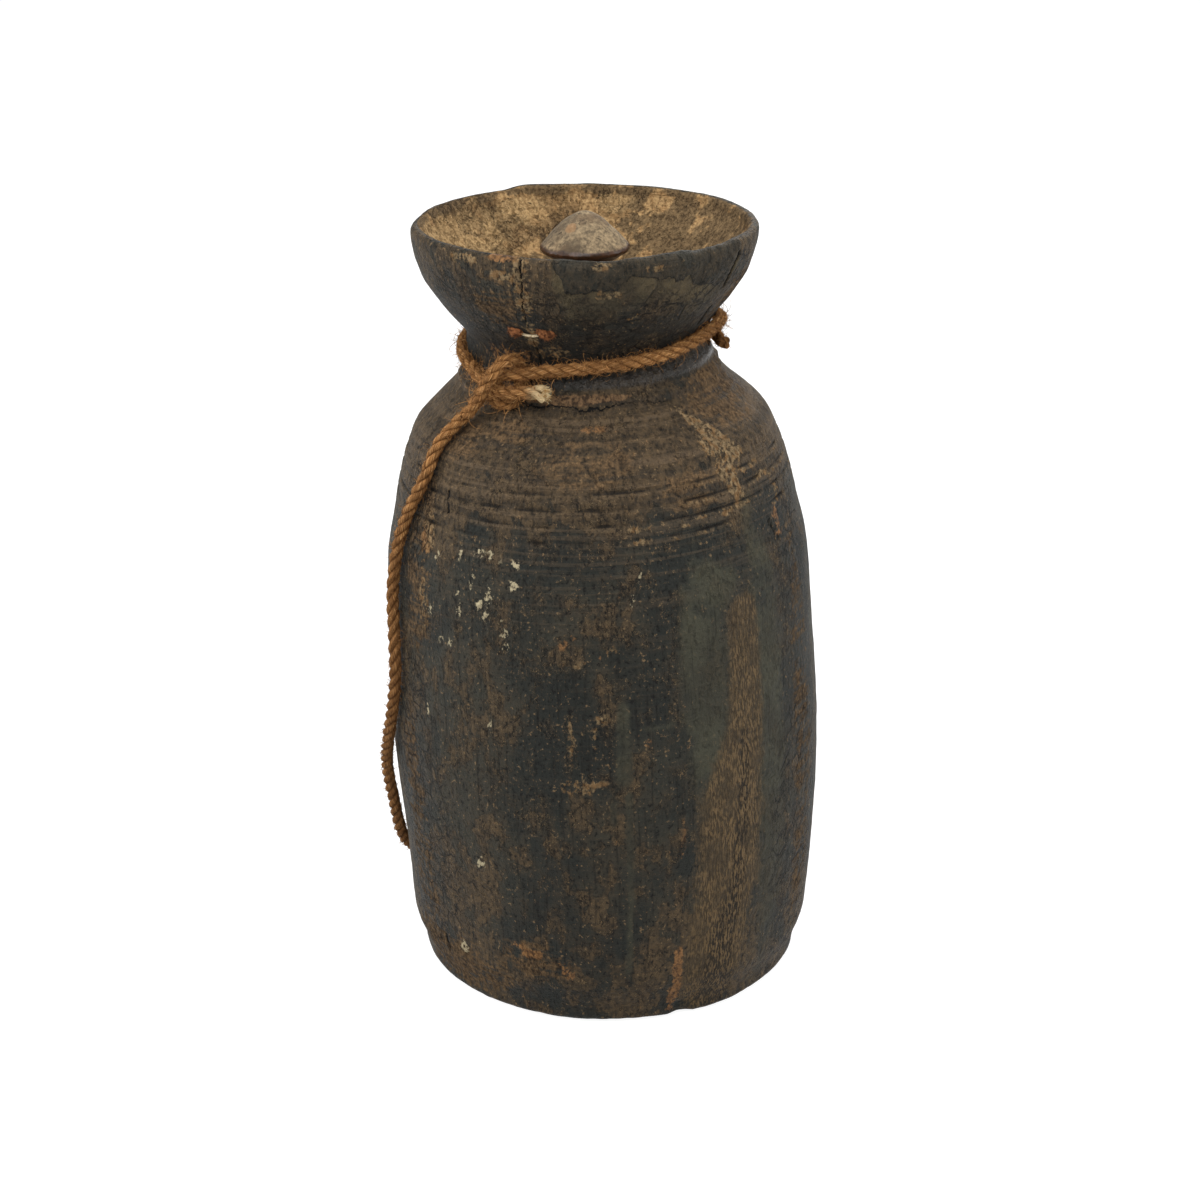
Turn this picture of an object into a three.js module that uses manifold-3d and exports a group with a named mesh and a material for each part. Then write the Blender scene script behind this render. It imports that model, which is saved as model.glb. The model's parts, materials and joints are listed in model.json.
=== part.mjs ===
// A carved wooden storage pot: a round-shouldered body with a flared bowl mouth, a plug stopper with
// a knob, a wire stitch across a crack in the bowl, and a rope tied round the neck.
// Millimetres, +Z up. The origin is on the floor, under the middle of the belly, and the front is -Y.
// Angles are in degrees about +Z from +X, so the front is at -90.
import * as THREE from "three";
import { mergeVertices } from "three/addons/utils/BufferGeometryUtils.js";
import Module from "manifold-3d";

// Outside of the pot: heights are from the floor up to the collar, and from the collar above it
const FOOT_FLAT_RADIUS = 75;
const FOOT_RADIUS = 80.5;
const FOOT_EDGE = 4;
const SKIRT_RADIUS = 85.2;
const SKIRT_HEIGHT = 21;
const BELLY_RADIUS = 90;
const BELLY_HEIGHT = 107;
const FLANK_RADIUS = 87.2;
const FLANK_DROP = 79;
const SHOULDER_RADIUS = 82.5;
const SHOULDER_DROP = 53;
const CROWN_RADIUS = 73.7;
const CROWN_DROP = 23;
const COLLAR_RADIUS = 52.8;
const COLLAR_HEIGHT = 259;
const NECK_FOOT_RADIUS = 48.5;
const NECK_FOOT_RISE = 7.8;
const NECK_RADIUS = 47.7;
const NECK_RISE = 14.3;
const BOWL_RADIUS = 59.5;
const BOWL_RISE = 32.5;
const CHEEK_RADIUS = 65.7;
const CHEEK_RISE = 42.5;
const RIM_RADIUS = 69.7;
const RIM_RISE = 58.5;
const LIP_THICKNESS = 5;

// Turned detail: grooves round the shoulder, a cut at the collar's foot and a bead on the collar
const GROOVE_COUNT = 4;
const GROOVE_FIRST_DROP = 28.8;
const GROOVE_SPACING = 6;
const GROOVE_WIDTH = 2.4;
const GROOVE_DEPTH = 0.8;
const COLLAR_CUT_WIDTH = 2;
const COLLAR_CUT_DEPTH = 0.9;
const BEAD_RISE = 6.5;
const BEAD_WIDTH = 8;
const BEAD_HEIGHT = 0.9;

// Inside of the pot: the hollow, the tapered throat that the stopper plugs, and the funnel above it
const WALL = 11;
const FLOOR_THICKNESS = 16;
const FLOOR_ROUND = 14;
const THROAT_TOP_RADIUS = 36;
const THROAT_BOTTOM_RADIUS = 33;
const THROAT_TOP_RISE = 28;
const THROAT_LENGTH = 26;
const FUNNEL_RADIUS = 54;
const FUNNEL_RISE = 43;

// Lean of the hand-cut axis to the left, as the shift of the section's centre at each height
const FOOT_SHIFT = 2.2;
const FOOT_SHIFT_HEIGHT = 55;
const COLLAR_SHIFT = -6.3;
const BOWL_SHIFT = -7.7;
const RIM_SHIFT = -8.2;

// Stopper: heights are above the top of the throat
const SEAT_CLEARANCE = 0.3;
const PLUG_LENGTH = 20;
const PLUG_CHAMFER = 2;
const PLUG_DOME = 4;
const STEM_RADIUS = 10.5;
const KNOB_RADIUS = 17.8;
const KNOB_LEVEL = 22;
const KNOB_UNDERCUT = 6;
const KNOB_EDGE = 2.2;
const KNOB_EDGE_START = -70;
const KNOB_PEAK = 14.3;
const KNOB_FULLNESS = 0.62;

// Stitch across the crack: a wire between two packed pegs
const STITCH_RISE = 30;
const STITCH_ANGLE = -111.2;
const STITCH_SPAN = 12.4;
const PEG_SHANK_RADIUS = 1.6;
const PEG_SHANK_LENGTH = 4;
const LEFT_PEG_RADIUS = 2.5;
const RIGHT_PEG_RADIUS = 3.1;
const PEG_HEAD_HEIGHT = 2.4;
const PEG_CLEARANCE = 0.3;
const WIRE_DIAMETER = 1.2;

// Rope
const ROPE_DIAMETER = 5;
const ROPE_CLEARANCE = 0.35;
const ROPE_JOIN_GAP = 0.3;

// Facets: sides of what is turned, and the spacing of rings up each stretch of the pot
const POT_SIDES = 40;
const PEG_SIDES = 16;
const ROPE_SIDES = 8;
const WIRE_SIDES = 8;
const FOOT_STEP = 8;
const SIDE_STEP = 17;
const SHOULDER_STEP = 4;
const NECK_STEP = 3.2;
const BOWL_STEP = 5;
const HOLLOW_TOP_STEP = 6;
const HOLLOW_SHOULDER_STEP = 8;
const HOLLOW_SIDE_STEP = 22;
const CORNER_FACETS = 4;
const LIP_FACETS = 6;
const PEG_HEAD_FACETS = 5;
const DOME_FACETS = 4;
const KNOB_FACETS = 8;
const WIRE_STEPS = 4;
const WOUND_STEPS_PER_POINT = 3;
const FREE_STEPS_PER_POINT = 2;

// Share of a cut's width, on each side of its middle, that is kept free of other rings
const CUT_MARGIN = 0.75;
// Length of the straight start that gives the funnel its slope where it leaves the throat
const FUNNEL_LEAD = 1;
// Half of the short span over which a slope is measured
const SLOPE_SPAN = 0.5;
// How many points the rope's gap to itself is measured on, and the diameters along it that are neighbours
const GAP_POINTS = 900;
const GAP_NEIGHBOURS = 2.5;

// Heights that follow from the sizes above
const BOWL_HEIGHT = COLLAR_HEIGHT + BOWL_RISE;
const LIP_RADIUS = LIP_THICKNESS / 2;
const RIM_HEIGHT = COLLAR_HEIGHT + RIM_RISE;
const THROAT_TOP = COLLAR_HEIGHT + THROAT_TOP_RISE;
const THROAT_BOTTOM = THROAT_TOP - THROAT_LENGTH;

const wasm = await Module();
wasm.setup();

const radians = THREE.MathUtils.degToRad;

// Curve of a value against height through the stations [height, value], which never overshoots them.
function smoothThrough(stations) {
  const last = stations.length - 1;
  const slopeAfter = (i) =>
    (stations[i + 1][1] - stations[i][1]) / (stations[i + 1][0] - stations[i][0]);
  const slopeAt = (i) => {
    if (i === 0 || i === last) return 0;
    const below = slopeAfter(i - 1);
    const above = slopeAfter(i);
    return below * above > 0 ? (2 * below * above) / (below + above) : 0;
  };
  return (height) => {
    if (height <= stations[0][0]) return stations[0][1];
    if (height >= stations[last][0]) return stations[last][1];
    const i = stations.findIndex((s) => s[0] > height) - 1;
    const span = stations[i + 1][0] - stations[i][0];
    const t = (height - stations[i][0]) / span;
    const rise = t * t * (3 - 2 * t);
    const start = t * (1 - t) * (1 - t);
    const end = t * t * (t - 1);
    return (
      stations[i][1] * (1 - rise) +
      stations[i + 1][1] * rise +
      span * (slopeAt(i) * start + slopeAt(i + 1) * end)
    );
  };
}

// Outer radius at a height, before the grooves are cut.
const turnedRadius = smoothThrough([
  [FOOT_EDGE, FOOT_RADIUS],
  [SKIRT_HEIGHT, SKIRT_RADIUS],
  [BELLY_HEIGHT, BELLY_RADIUS],
  [COLLAR_HEIGHT - FLANK_DROP, FLANK_RADIUS],
  [COLLAR_HEIGHT - SHOULDER_DROP, SHOULDER_RADIUS],
  [COLLAR_HEIGHT - CROWN_DROP, CROWN_RADIUS],
  [COLLAR_HEIGHT, COLLAR_RADIUS],
  [COLLAR_HEIGHT + NECK_FOOT_RISE, NECK_FOOT_RADIUS],
  [COLLAR_HEIGHT + NECK_RISE, NECK_RADIUS],
  [BOWL_HEIGHT, BOWL_RADIUS],
  [COLLAR_HEIGHT + CHEEK_RISE, CHEEK_RADIUS],
  [RIM_HEIGHT, RIM_RADIUS],
]);

function skinRadius(height) {
  const across = (height - COLLAR_HEIGHT - BEAD_RISE) / (BEAD_WIDTH / 2);
  const bead = Math.abs(across) < 1 ? BEAD_HEIGHT * Math.cos((across * Math.PI) / 2) ** 2 : 0;
  return turnedRadius(height) + bead;
}

// Sideways shift of the section's centre at a height, and how fast it changes.
const axisShift = smoothThrough([
  [0, FOOT_SHIFT],
  [FOOT_SHIFT_HEIGHT, FOOT_SHIFT],
  [BELLY_HEIGHT, 0],
  [COLLAR_HEIGHT, COLLAR_SHIFT],
  [BOWL_HEIGHT, BOWL_SHIFT],
  [RIM_HEIGHT, RIM_SHIFT],
]);

// A point of the upright pot, moved to where the leaning axis carries it. Sections stay square to it.
function lean(point) {
  const above = axisShift(point.z + SLOPE_SPAN);
  const below = axisShift(point.z - SLOPE_SPAN);
  const slope = (above - below) / (2 * SLOPE_SPAN);
  return new THREE.Vector3(point.x + axisShift(point.z), point.y, point.z - slope * point.x);
}

// A point that stands off the pot's skin, at an angle round it and a height.
function offSkin(angle, height, standOff) {
  const radius = skinRadius(height) + standOff;
  const a = radians(angle);
  return lean(new THREE.Vector3(radius * Math.cos(a), radius * Math.sin(a), height));
}

// A piece turned about the pot's axis from an outline of [radius, height] that rises on the outside.
function turned(outline, sides) {
  const points = outline.map(([radius, height]) => new THREE.Vector2(radius, height));
  return new THREE.LatheGeometry(points, sides).rotateX(Math.PI / 2);
}

function leaned(geometry) {
  const positions = geometry.getAttribute("position");
  const point = new THREE.Vector3();
  for (let i = 0; i < positions.count; i++) {
    const moved = lean(point.fromBufferAttribute(positions, i));
    positions.setXYZ(i, moved.x, moved.y, moved.z);
  }
  return geometry;
}

function solidOf(geometry) {
  const bare = new THREE.BufferGeometry();
  bare.setAttribute("position", geometry.getAttribute("position"));
  bare.setIndex(geometry.index);
  const merged = mergeVertices(bare, 1e-3);
  return new wasm.Manifold(
    new wasm.Mesh({
      numProp: 3,
      vertProperties: merged.getAttribute("position").array,
      triVerts: new Uint32Array(merged.index.array),
    }),
  );
}

function geometryOf(solid) {
  const mesh = solid.getMesh();
  const geometry = new THREE.BufferGeometry();
  geometry.setAttribute("position", new THREE.BufferAttribute(mesh.vertProperties, 3));
  geometry.setIndex(new THREE.BufferAttribute(mesh.triVerts, 1));
  geometry.computeVertexNormals();
  return geometry;
}

// Heights from low to high in about equal steps, both ends included.
function levels(low, high, step) {
  const count = Math.max(1, Math.round((high - low) / step));
  return Array.from({ length: count + 1 }, (_, i) => low + ((high - low) * i) / count);
}

// Points on an arc about [radius, height], from one angle to another.
function arc(centreRadius, centreHeight, acrossRadius, upRadius, from, to, count) {
  return Array.from({ length: count + 1 }, (_, i) => {
    const a = radians(from + ((to - from) * i) / count);
    return [centreRadius + acrossRadius * Math.cos(a), centreHeight + upRadius * Math.sin(a)];
  });
}

// The pot: the outline runs up the outside, over the lip, down the funnel and throat and round the hollow
function potOutline() {
  const cuts = [{ height: COLLAR_HEIGHT, width: COLLAR_CUT_WIDTH, depth: COLLAR_CUT_DEPTH }];
  for (let i = 0; i < GROOVE_COUNT; i++) {
    cuts.push({
      height: COLLAR_HEIGHT - GROOVE_FIRST_DROP - i * GROOVE_SPACING,
      width: GROOVE_WIDTH,
      depth: GROOVE_DEPTH,
    });
  }
  const shoulder = COLLAR_HEIGHT - SHOULDER_DROP;
  const skin = [
    ...levels(FOOT_EDGE, SKIRT_HEIGHT, FOOT_STEP),
    ...levels(SKIRT_HEIGHT, BELLY_HEIGHT, SIDE_STEP).slice(1),
    ...levels(BELLY_HEIGHT, shoulder, SIDE_STEP).slice(1),
    ...levels(shoulder, COLLAR_HEIGHT, SHOULDER_STEP).slice(1),
    ...levels(COLLAR_HEIGHT, BOWL_HEIGHT, NECK_STEP).slice(1),
    ...levels(BOWL_HEIGHT, RIM_HEIGHT, BOWL_STEP).slice(1),
  ]
    .filter((height) =>
      cuts.every((cut) => Math.abs(height - cut.height) > cut.width * CUT_MARGIN),
    )
    .map((height) => [skinRadius(height), height]);
  for (const cut of cuts) {
    skin.push([skinRadius(cut.height - cut.width / 2), cut.height - cut.width / 2]);
    skin.push([skinRadius(cut.height) - cut.depth, cut.height]);
    skin.push([skinRadius(cut.height + cut.width / 2), cut.height + cut.width / 2]);
  }
  skin.sort((a, b) => a[1] - b[1]);

  const footRound = FOOT_RADIUS - FOOT_FLAT_RADIUS;
  const foot = arc(FOOT_FLAT_RADIUS, FOOT_EDGE, footRound, FOOT_EDGE, -90, 0, CORNER_FACETS);
  const lip = arc(RIM_RADIUS - LIP_RADIUS, RIM_HEIGHT, LIP_RADIUS, LIP_RADIUS, 0, 180, LIP_FACETS);
  const funnelSlope = (FUNNEL_RADIUS - THROAT_TOP_RADIUS) / (FUNNEL_RISE - THROAT_TOP_RISE);
  const funnelRadius = smoothThrough([
    [THROAT_TOP - FUNNEL_LEAD, THROAT_TOP_RADIUS - funnelSlope * FUNNEL_LEAD],
    [THROAT_TOP, THROAT_TOP_RADIUS],
    [COLLAR_HEIGHT + FUNNEL_RISE, FUNNEL_RADIUS],
    [RIM_HEIGHT, RIM_RADIUS - LIP_THICKNESS],
  ]);
  const funnel = levels(THROAT_TOP, RIM_HEIGHT, BOWL_STEP)
    .slice(0, -1)
    .reverse()
    .map((height) => [funnelRadius(height), height]);
  const crown = COLLAR_HEIGHT - CROWN_DROP;
  const hollowRadius = smoothThrough([
    [BELLY_HEIGHT, BELLY_RADIUS - WALL],
    [shoulder, SHOULDER_RADIUS - WALL],
    [crown, CROWN_RADIUS - WALL],
    [THROAT_BOTTOM, THROAT_BOTTOM_RADIUS],
  ]);
  const hollow = [
    ...levels(crown, THROAT_BOTTOM, HOLLOW_TOP_STEP).reverse(),
    ...levels(shoulder, crown, HOLLOW_SHOULDER_STEP).reverse().slice(1),
    ...levels(BELLY_HEIGHT, shoulder, HOLLOW_SIDE_STEP).reverse().slice(1),
  ].map((height) => [hollowRadius(height), height]);
  const floorEdge = FLOOR_THICKNESS + FLOOR_ROUND;
  const lowerHollow = levels(floorEdge, BELLY_HEIGHT, HOLLOW_SIDE_STEP)
    .reverse()
    .slice(1)
    .map((height) => [turnedRadius(height) - WALL, height]);
  const floorRadius = turnedRadius(floorEdge) - WALL;
  const floorMiddle = floorRadius - FLOOR_ROUND;
  const floor = arc(floorMiddle, floorEdge, FLOOR_ROUND, FLOOR_ROUND, 0, -90, CORNER_FACETS);
  return [
    [0, 0],
    ...foot.slice(0, -1),
    ...skin,
    ...lip.slice(1),
    ...funnel,
    ...hollow,
    ...lowerHollow,
    ...floor.slice(1),
    [0, FLOOR_THICKNESS],
  ];
}

// A frame at the stitch's end on the bowl: where the skin is, and the direction straight out of it.
function skinFrame(angle, height) {
  const span = SLOPE_SPAN;
  const origin = offSkin(angle, height, 0);
  const up = offSkin(angle, height + span, 0).sub(offSkin(angle, height - span, 0));
  const round = offSkin(angle + span, height, 0).sub(offSkin(angle - span, height, 0));
  const out = round.cross(up).normalize();
  return { origin, out };
}

// A piece made along +Z, set with its foot at the frame's origin and +Z pointing out of the skin.
function setOut(geometry, frame) {
  const turn = new THREE.Quaternion().setFromUnitVectors(new THREE.Vector3(0, 0, 1), frame.out);
  return geometry.applyQuaternion(turn).translate(frame.origin.x, frame.origin.y, frame.origin.z);
}

const stitchHeight = COLLAR_HEIGHT + STITCH_RISE;
const stitchEnds = [
  { side: "left", angle: STITCH_ANGLE - STITCH_SPAN / 2, radius: LEFT_PEG_RADIUS },
  { side: "right", angle: STITCH_ANGLE + STITCH_SPAN / 2, radius: RIGHT_PEG_RADIUS },
];

function pegHole(end) {
  const radius = PEG_SHANK_RADIUS + PEG_CLEARANCE;
  const deep = -PEG_SHANK_LENGTH - PEG_CLEARANCE;
  const proud = PEG_HEAD_HEIGHT;
  const outline = [[0, deep], [radius, deep], [radius, proud], [0, proud]];
  return setOut(turned(outline, PEG_SIDES), skinFrame(end.angle, stitchHeight));
}

function peg(end) {
  const head = arc(0, PEG_CLEARANCE, end.radius, PEG_HEAD_HEIGHT, 0, 90, PEG_HEAD_FACETS);
  const outline = [
    [0, -PEG_SHANK_LENGTH],
    [PEG_SHANK_RADIUS, -PEG_SHANK_LENGTH],
    [PEG_SHANK_RADIUS, PEG_CLEARANCE],
    ...head.slice(0, -1),
    [0, PEG_CLEARANCE + PEG_HEAD_HEIGHT],
  ];
  return setOut(turned(outline, PEG_SIDES), skinFrame(end.angle, stitchHeight));
}

function potBody() {
  let solid = solidOf(leaned(turned(potOutline(), POT_SIDES)));
  for (const end of stitchEnds) solid = solid.subtract(solidOf(pegHole(end)));
  return geometryOf(solid);
}

// The stopper: a tapered plug with a domed top, a stem and a pointed knob, turned in one piece
function stopper() {
  const throatTaper = (THROAT_TOP_RADIUS - THROAT_BOTTOM_RADIUS) / THROAT_LENGTH;
  const plugTop = THROAT_TOP_RADIUS - SEAT_CLEARANCE;
  const plugFoot = plugTop - throatTaper * PLUG_LENGTH;
  const knobLevel = THROAT_TOP + KNOB_LEVEL;
  const underside = knobLevel - KNOB_UNDERCUT;
  const domeRadius = smoothThrough([
    [0, plugTop],
    [PLUG_DOME / 2, (plugTop + STEM_RADIUS) / 2],
    [PLUG_DOME, STEM_RADIUS],
  ]);
  const dome = levels(0, PLUG_DOME, PLUG_DOME / DOME_FACETS).map((up) => [
    domeRadius(up),
    THROAT_TOP + up,
  ]);
  const edgeMiddle = KNOB_RADIUS - KNOB_EDGE;
  const edge = arc(edgeMiddle, knobLevel, KNOB_EDGE, KNOB_EDGE, KNOB_EDGE_START, 0, CORNER_FACETS);
  const crown = levels(0, KNOB_PEAK, KNOB_PEAK / KNOB_FACETS)
    .slice(1, -1)
    .map((up) => [KNOB_RADIUS * (1 - up / KNOB_PEAK) ** KNOB_FULLNESS, knobLevel + up]);
  const outline = [
    [0, THROAT_TOP - PLUG_LENGTH],
    [plugFoot - PLUG_CHAMFER, THROAT_TOP - PLUG_LENGTH],
    [plugFoot + throatTaper * PLUG_CHAMFER, THROAT_TOP - PLUG_LENGTH + PLUG_CHAMFER],
    ...dome,
    [STEM_RADIUS, underside],
    ...edge,
    ...crown,
    [0, knobLevel + KNOB_PEAK],
  ];
  return leaned(turned(outline, POT_SIDES));
}

// A stretch of a longer curve, in the longer curve's own steps rather than in equal lengths.
class Stretch extends THREE.Curve {
  constructor(curve, from, to) {
    super();
    this.curve = curve;
    this.from = from;
    this.to = to;
  }
  getPoint(t, target = new THREE.Vector3()) {
    return this.curve.getPoint(this.from + (this.to - this.from) * t, target);
  }
  getUtoTmapping(u) {
    return u;
  }
}

function tube(path, diameter, sides, steps) {
  const section = Array.from({ length: sides }, (_, i) => {
    const a = (2 * Math.PI * i) / sides;
    return new THREE.Vector2((diameter / 2) * Math.cos(a), (diameter / 2) * Math.sin(a));
  });
  return new THREE.ExtrudeGeometry(new THREE.Shape(section), {
    steps,
    bevelEnabled: false,
    extrudePath: path,
  });
}

// The wire lies on the bowl and butts against both peg heads
function stitchWire() {
  const [left, right] = stitchEnds;
  const standOff = WIRE_DIAMETER / 2 + PEG_CLEARANCE;
  const mmPerDegree = radians(1) * (skinRadius(stitchHeight) + standOff);
  const start = left.angle + (left.radius + PEG_CLEARANCE) / mmPerDegree;
  const end = right.angle - (right.radius + PEG_CLEARANCE) / mmPerDegree;
  const points = [0, 0.5, 1].map((t) => offSkin(start + (end - start) * t, stitchHeight, standOff));
  return tube(new THREE.CatmullRomCurve3(points), WIRE_DIAMETER, WIRE_SIDES, WIRE_STEPS);
}

// Rope route: [angle, height above the collar, stand-off beyond resting on the skin].
// From the frayed end: back under the knot, along the front and once round the neck.
const RING_ROUTE = [
  [-108.2, 5.4, 3.0], [-111.8, 5.9, 4.6], [-116, 6.0, 5.8], [-120.6, 5.6, 6.2], [-124.4, 5.5, 6.2],
  [-126.2, 6, 6.2], [-127.5, 7.2, 6.3], [-128, 8.9, 6.6], [-127.5, 10.6, 6.7], [-126.2, 11.8, 6.5],
  [-124.4, 12.3, 6.3], [-119.9, 12.3, 6.1], [-115.7, 12.6, 4.4], [-110.9, 13.0, 1.8], [-103.9, 13.2, 0.3],
  [-94, 13.8, 0.1], [-84.3, 14.2, 0.1], [-66, 14.8, 0.1], [-50.2, 15.4, 0.1], [-33, 17.2, 0.2],
  [-21.5, 17.6, 0.3], [-10, 18.2, 1.6], [2, 17.8, 2.6], [15, 16.8, 2.0], [30, 15.8, 0.8], [60, 15, 0.4],
  [90, 14.5, 0.4], [120, 14, 0.4], [150, 13.4, 0.3], [168, 12.8, 0.1], [176, 12, 0.1], [182, 11.5, 0.1],
  [188.4, 10.7, 0.1], [196, 9.9, 0.1], [203, 9.2, 0.1], [212, 7.6, 0.1], [218.3, 5.5, 0.1],
];
// The hitch: under the two front strands, up behind them and back over in a bight.
const HITCH_ROUTE = [
  [223.4, 2.6, 0.4], [228.5, 0.3, 0.5], [234.1, -0.4, 0.6], [238, 1.3, 0.3], [239.5, 4.1, 0.1],
  [239.6, 7.3, 0], [239.3, 11, 0.1], [239.2, 14.7, 0.7], [238.9, 17.4, 3.2], [238.2, 18.1, 6.8],
  [237, 17.4, 9.8], [235.3, 14.9, 11.9], [233.3, 12.1, 12.6], [231.1, 8.2, 12.2], [228.1, 3.9, 10.0],
  [225.3, 0, 7.6], [222.5, -3.6, 5.4],
];
// The carrying loop: down the left flank, behind the pot and up to an end tucked in below the ring.
const LOOP_ROUTE = [
  [219.4, -7.3, 3.6], [217, -11.5, 2.2], [215.2, -17.5, 1.0], [213.7, -30.2, 0.4], [208.6, -44, 0.3],
  [205.3, -55.2, 0.2], [203.8, -66.4, 0.1], [202.7, -81, 0.1], [203.5, -101.3, 0.1], [203.3, -118, 0.1],
  [199.1, -136, 0.1], [193.7, -152, 0.9], [184.8, -170, 1.7], [178, -194, 2.3], [171.4, -217, 3.0],
  [165, -228, 3.2], [155, -237.5, 3.4], [140, -243.5, 3.6], [125, -245, 3.7], [112, -243, 3.6],
  [101, -236, 3.4], [94, -224, 3.1], [90, -205, 2.4], [87, -180, 1.6], [85, -155, 0.9], [83, -130, 0.5],
  [82, -105, 0.4], [81, -80, 0.5], [80, -58, 0.8], [78, -40, 1.0], [75, -25, 1.0], [70.5, -12, 1.3],
  [63, -2, 1.6], [53, 4.8, 1.0], [40, 8.2, 0.3], [26, 9.6, 0.2], [14, 10, 0.2], [4, 10, 1.0],
  [-3, 9.7, 2.2], [-8, 9.2, 4.4],
];

const ropeStandOff = ROPE_DIAMETER / 2 + ROPE_CLEARANCE;
const ropePoints = [...RING_ROUTE, ...HITCH_ROUTE, ...LOOP_ROUTE].map(([angle, rise, lift]) =>
  offSkin(angle, COLLAR_HEIGHT + rise, ropeStandOff + lift),
);
const rope = new THREE.CatmullRomCurve3(ropePoints, false, "centripetal");
const ropeSpans = ropePoints.length - 1;
const knotSpans = RING_ROUTE.length + HITCH_ROUTE.length - 1;
const knotEnd = (knotSpans + 0.5) / ropeSpans;
const spanLength = ropePoints[knotSpans].distanceTo(ropePoints[knotSpans + 1]);
const loopStart = knotEnd + ROPE_JOIN_GAP / spanLength / ropeSpans;
const neckRopePath = new Stretch(rope, 0, knotEnd);
const carryLoopPath = new Stretch(rope, loopStart, 1);

function ropeTube(path, stepsPerPoint) {
  const steps = Math.round((path.to - path.from) * ropeSpans * stepsPerPoint);
  return tube(path, ROPE_DIAMETER, ROPE_SIDES, steps);
}

// Least gap between parts of a rope that aren't neighbours along it, and its length.
function leastGap(path) {
  const points = Array.from({ length: GAP_POINTS }, (_, i) => path.getPoint(i / (GAP_POINTS - 1)));
  const along = [0];
  for (let i = 1; i < GAP_POINTS; i++) along.push(along[i - 1] + points[i].distanceTo(points[i - 1]));
  let least = Infinity;
  for (let i = 0; i < GAP_POINTS; i++) {
    for (let j = i + 1; j < GAP_POINTS; j++) {
      if (along[j] - along[i] < GAP_NEIGHBOURS * ROPE_DIAMETER) continue;
      least = Math.min(least, points[i].distanceTo(points[j]));
    }
  }
  return { gap: least - ROPE_DIAMETER, length: along.at(-1) };
}

for (const [name, path] of [["neck rope", neckRopePath], ["carrying loop", carryLoopPath]]) {
  const { gap, length } = leastGap(path);
  console.log(`${name}: ${length.toFixed(0)} mm long, least gap to itself ${gap.toFixed(2)} mm`);
}

// Finishes
const darkWood = new THREE.MeshStandardMaterial({ color: 0x3a332c, roughness: 0.62, metalness: 0 });
const dustyWood = new THREE.MeshStandardMaterial({ color: 0x6b5840, roughness: 0.75, metalness: 0 });
const packing = new THREE.MeshStandardMaterial({ color: 0x7c4326, roughness: 0.95, metalness: 0 });
const wireMetal = new THREE.MeshStandardMaterial({ color: 0x9a8f7c, roughness: 0.45, metalness: 0.9 });
const jute = new THREE.MeshStandardMaterial({ color: 0x7a5530, roughness: 0.95, metalness: 0 });

const pot = new THREE.Group();
function add(name, geometry, material) {
  const mesh = new THREE.Mesh(geometry, material);
  mesh.name = name;
  pot.add(mesh);
}

add("pot_body", potBody(), darkWood);
add("stopper", stopper(), dustyWood);
for (const end of stitchEnds) add(`stitch_peg_${end.side}`, peg(end), packing);
add("stitch_wire", stitchWire(), wireMetal);
add("neck_rope", ropeTube(neckRopePath, WOUND_STEPS_PER_POINT), jute);
add("carry_loop", ropeTube(carryLoopPath, FREE_STEPS_PER_POINT), jute);

export default pot;
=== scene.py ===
# A carved wooden storage pot: a stopper in its flared mouth, a wire stitch over a crack in the bowl,
# and a jute rope tied round its neck. Shapes are worked out in millimetres and made in metres.
import json
import math

import bpy
import numpy as np
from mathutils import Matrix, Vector, noise

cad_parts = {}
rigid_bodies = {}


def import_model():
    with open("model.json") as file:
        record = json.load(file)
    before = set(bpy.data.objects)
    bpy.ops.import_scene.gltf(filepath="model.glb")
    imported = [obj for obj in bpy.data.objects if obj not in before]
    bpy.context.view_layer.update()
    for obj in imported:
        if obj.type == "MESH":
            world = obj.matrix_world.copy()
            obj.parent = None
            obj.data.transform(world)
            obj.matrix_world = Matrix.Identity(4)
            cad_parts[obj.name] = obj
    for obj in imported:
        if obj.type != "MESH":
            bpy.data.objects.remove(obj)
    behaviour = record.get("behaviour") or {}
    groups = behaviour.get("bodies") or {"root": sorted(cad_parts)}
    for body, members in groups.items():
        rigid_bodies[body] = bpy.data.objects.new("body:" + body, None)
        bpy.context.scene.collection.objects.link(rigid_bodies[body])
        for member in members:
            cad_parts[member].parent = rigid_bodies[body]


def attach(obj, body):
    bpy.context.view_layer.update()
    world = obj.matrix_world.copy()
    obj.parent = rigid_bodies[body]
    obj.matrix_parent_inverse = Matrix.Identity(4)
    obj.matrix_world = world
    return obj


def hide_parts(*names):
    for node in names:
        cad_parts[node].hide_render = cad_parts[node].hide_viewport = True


for leftover in list(bpy.data.objects):
    bpy.data.objects.remove(leftover)
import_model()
bpy.context.view_layer.update()
scene = bpy.context.scene
scene.view_settings.view_transform = "Standard"


# Studio
# A camera a little over a metre off, looking down at the pot as one does at a pot on a low table.
# A sheet of white paper lies under it, and five large soft lights stand round it in a pale room.
MM = 0.001
CAMERA_PLACE = (-2.03 * MM, -1023.61 * MM, 559.62 * MM)
LOOK_DOWN = 21.478
FOCAL_LENGTH = 78.406
FILM_WIDTH = 36


def placed(name, data):
    """A new object in the scene, made from a mesh, a light or a camera."""
    made = bpy.data.objects.new(name, data)
    scene.collection.objects.link(made)
    return made


lens = bpy.data.cameras.new("camera")
lens.lens = FOCAL_LENGTH
lens.sensor_width = FILM_WIDTH
lens.clip_start = 0.05
lens.clip_end = 50
camera = placed("camera", lens)
camera.location = CAMERA_PLACE
camera.rotation_euler = (math.radians(90 - LOOK_DOWN), 0, 0)
scene.camera = camera


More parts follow.
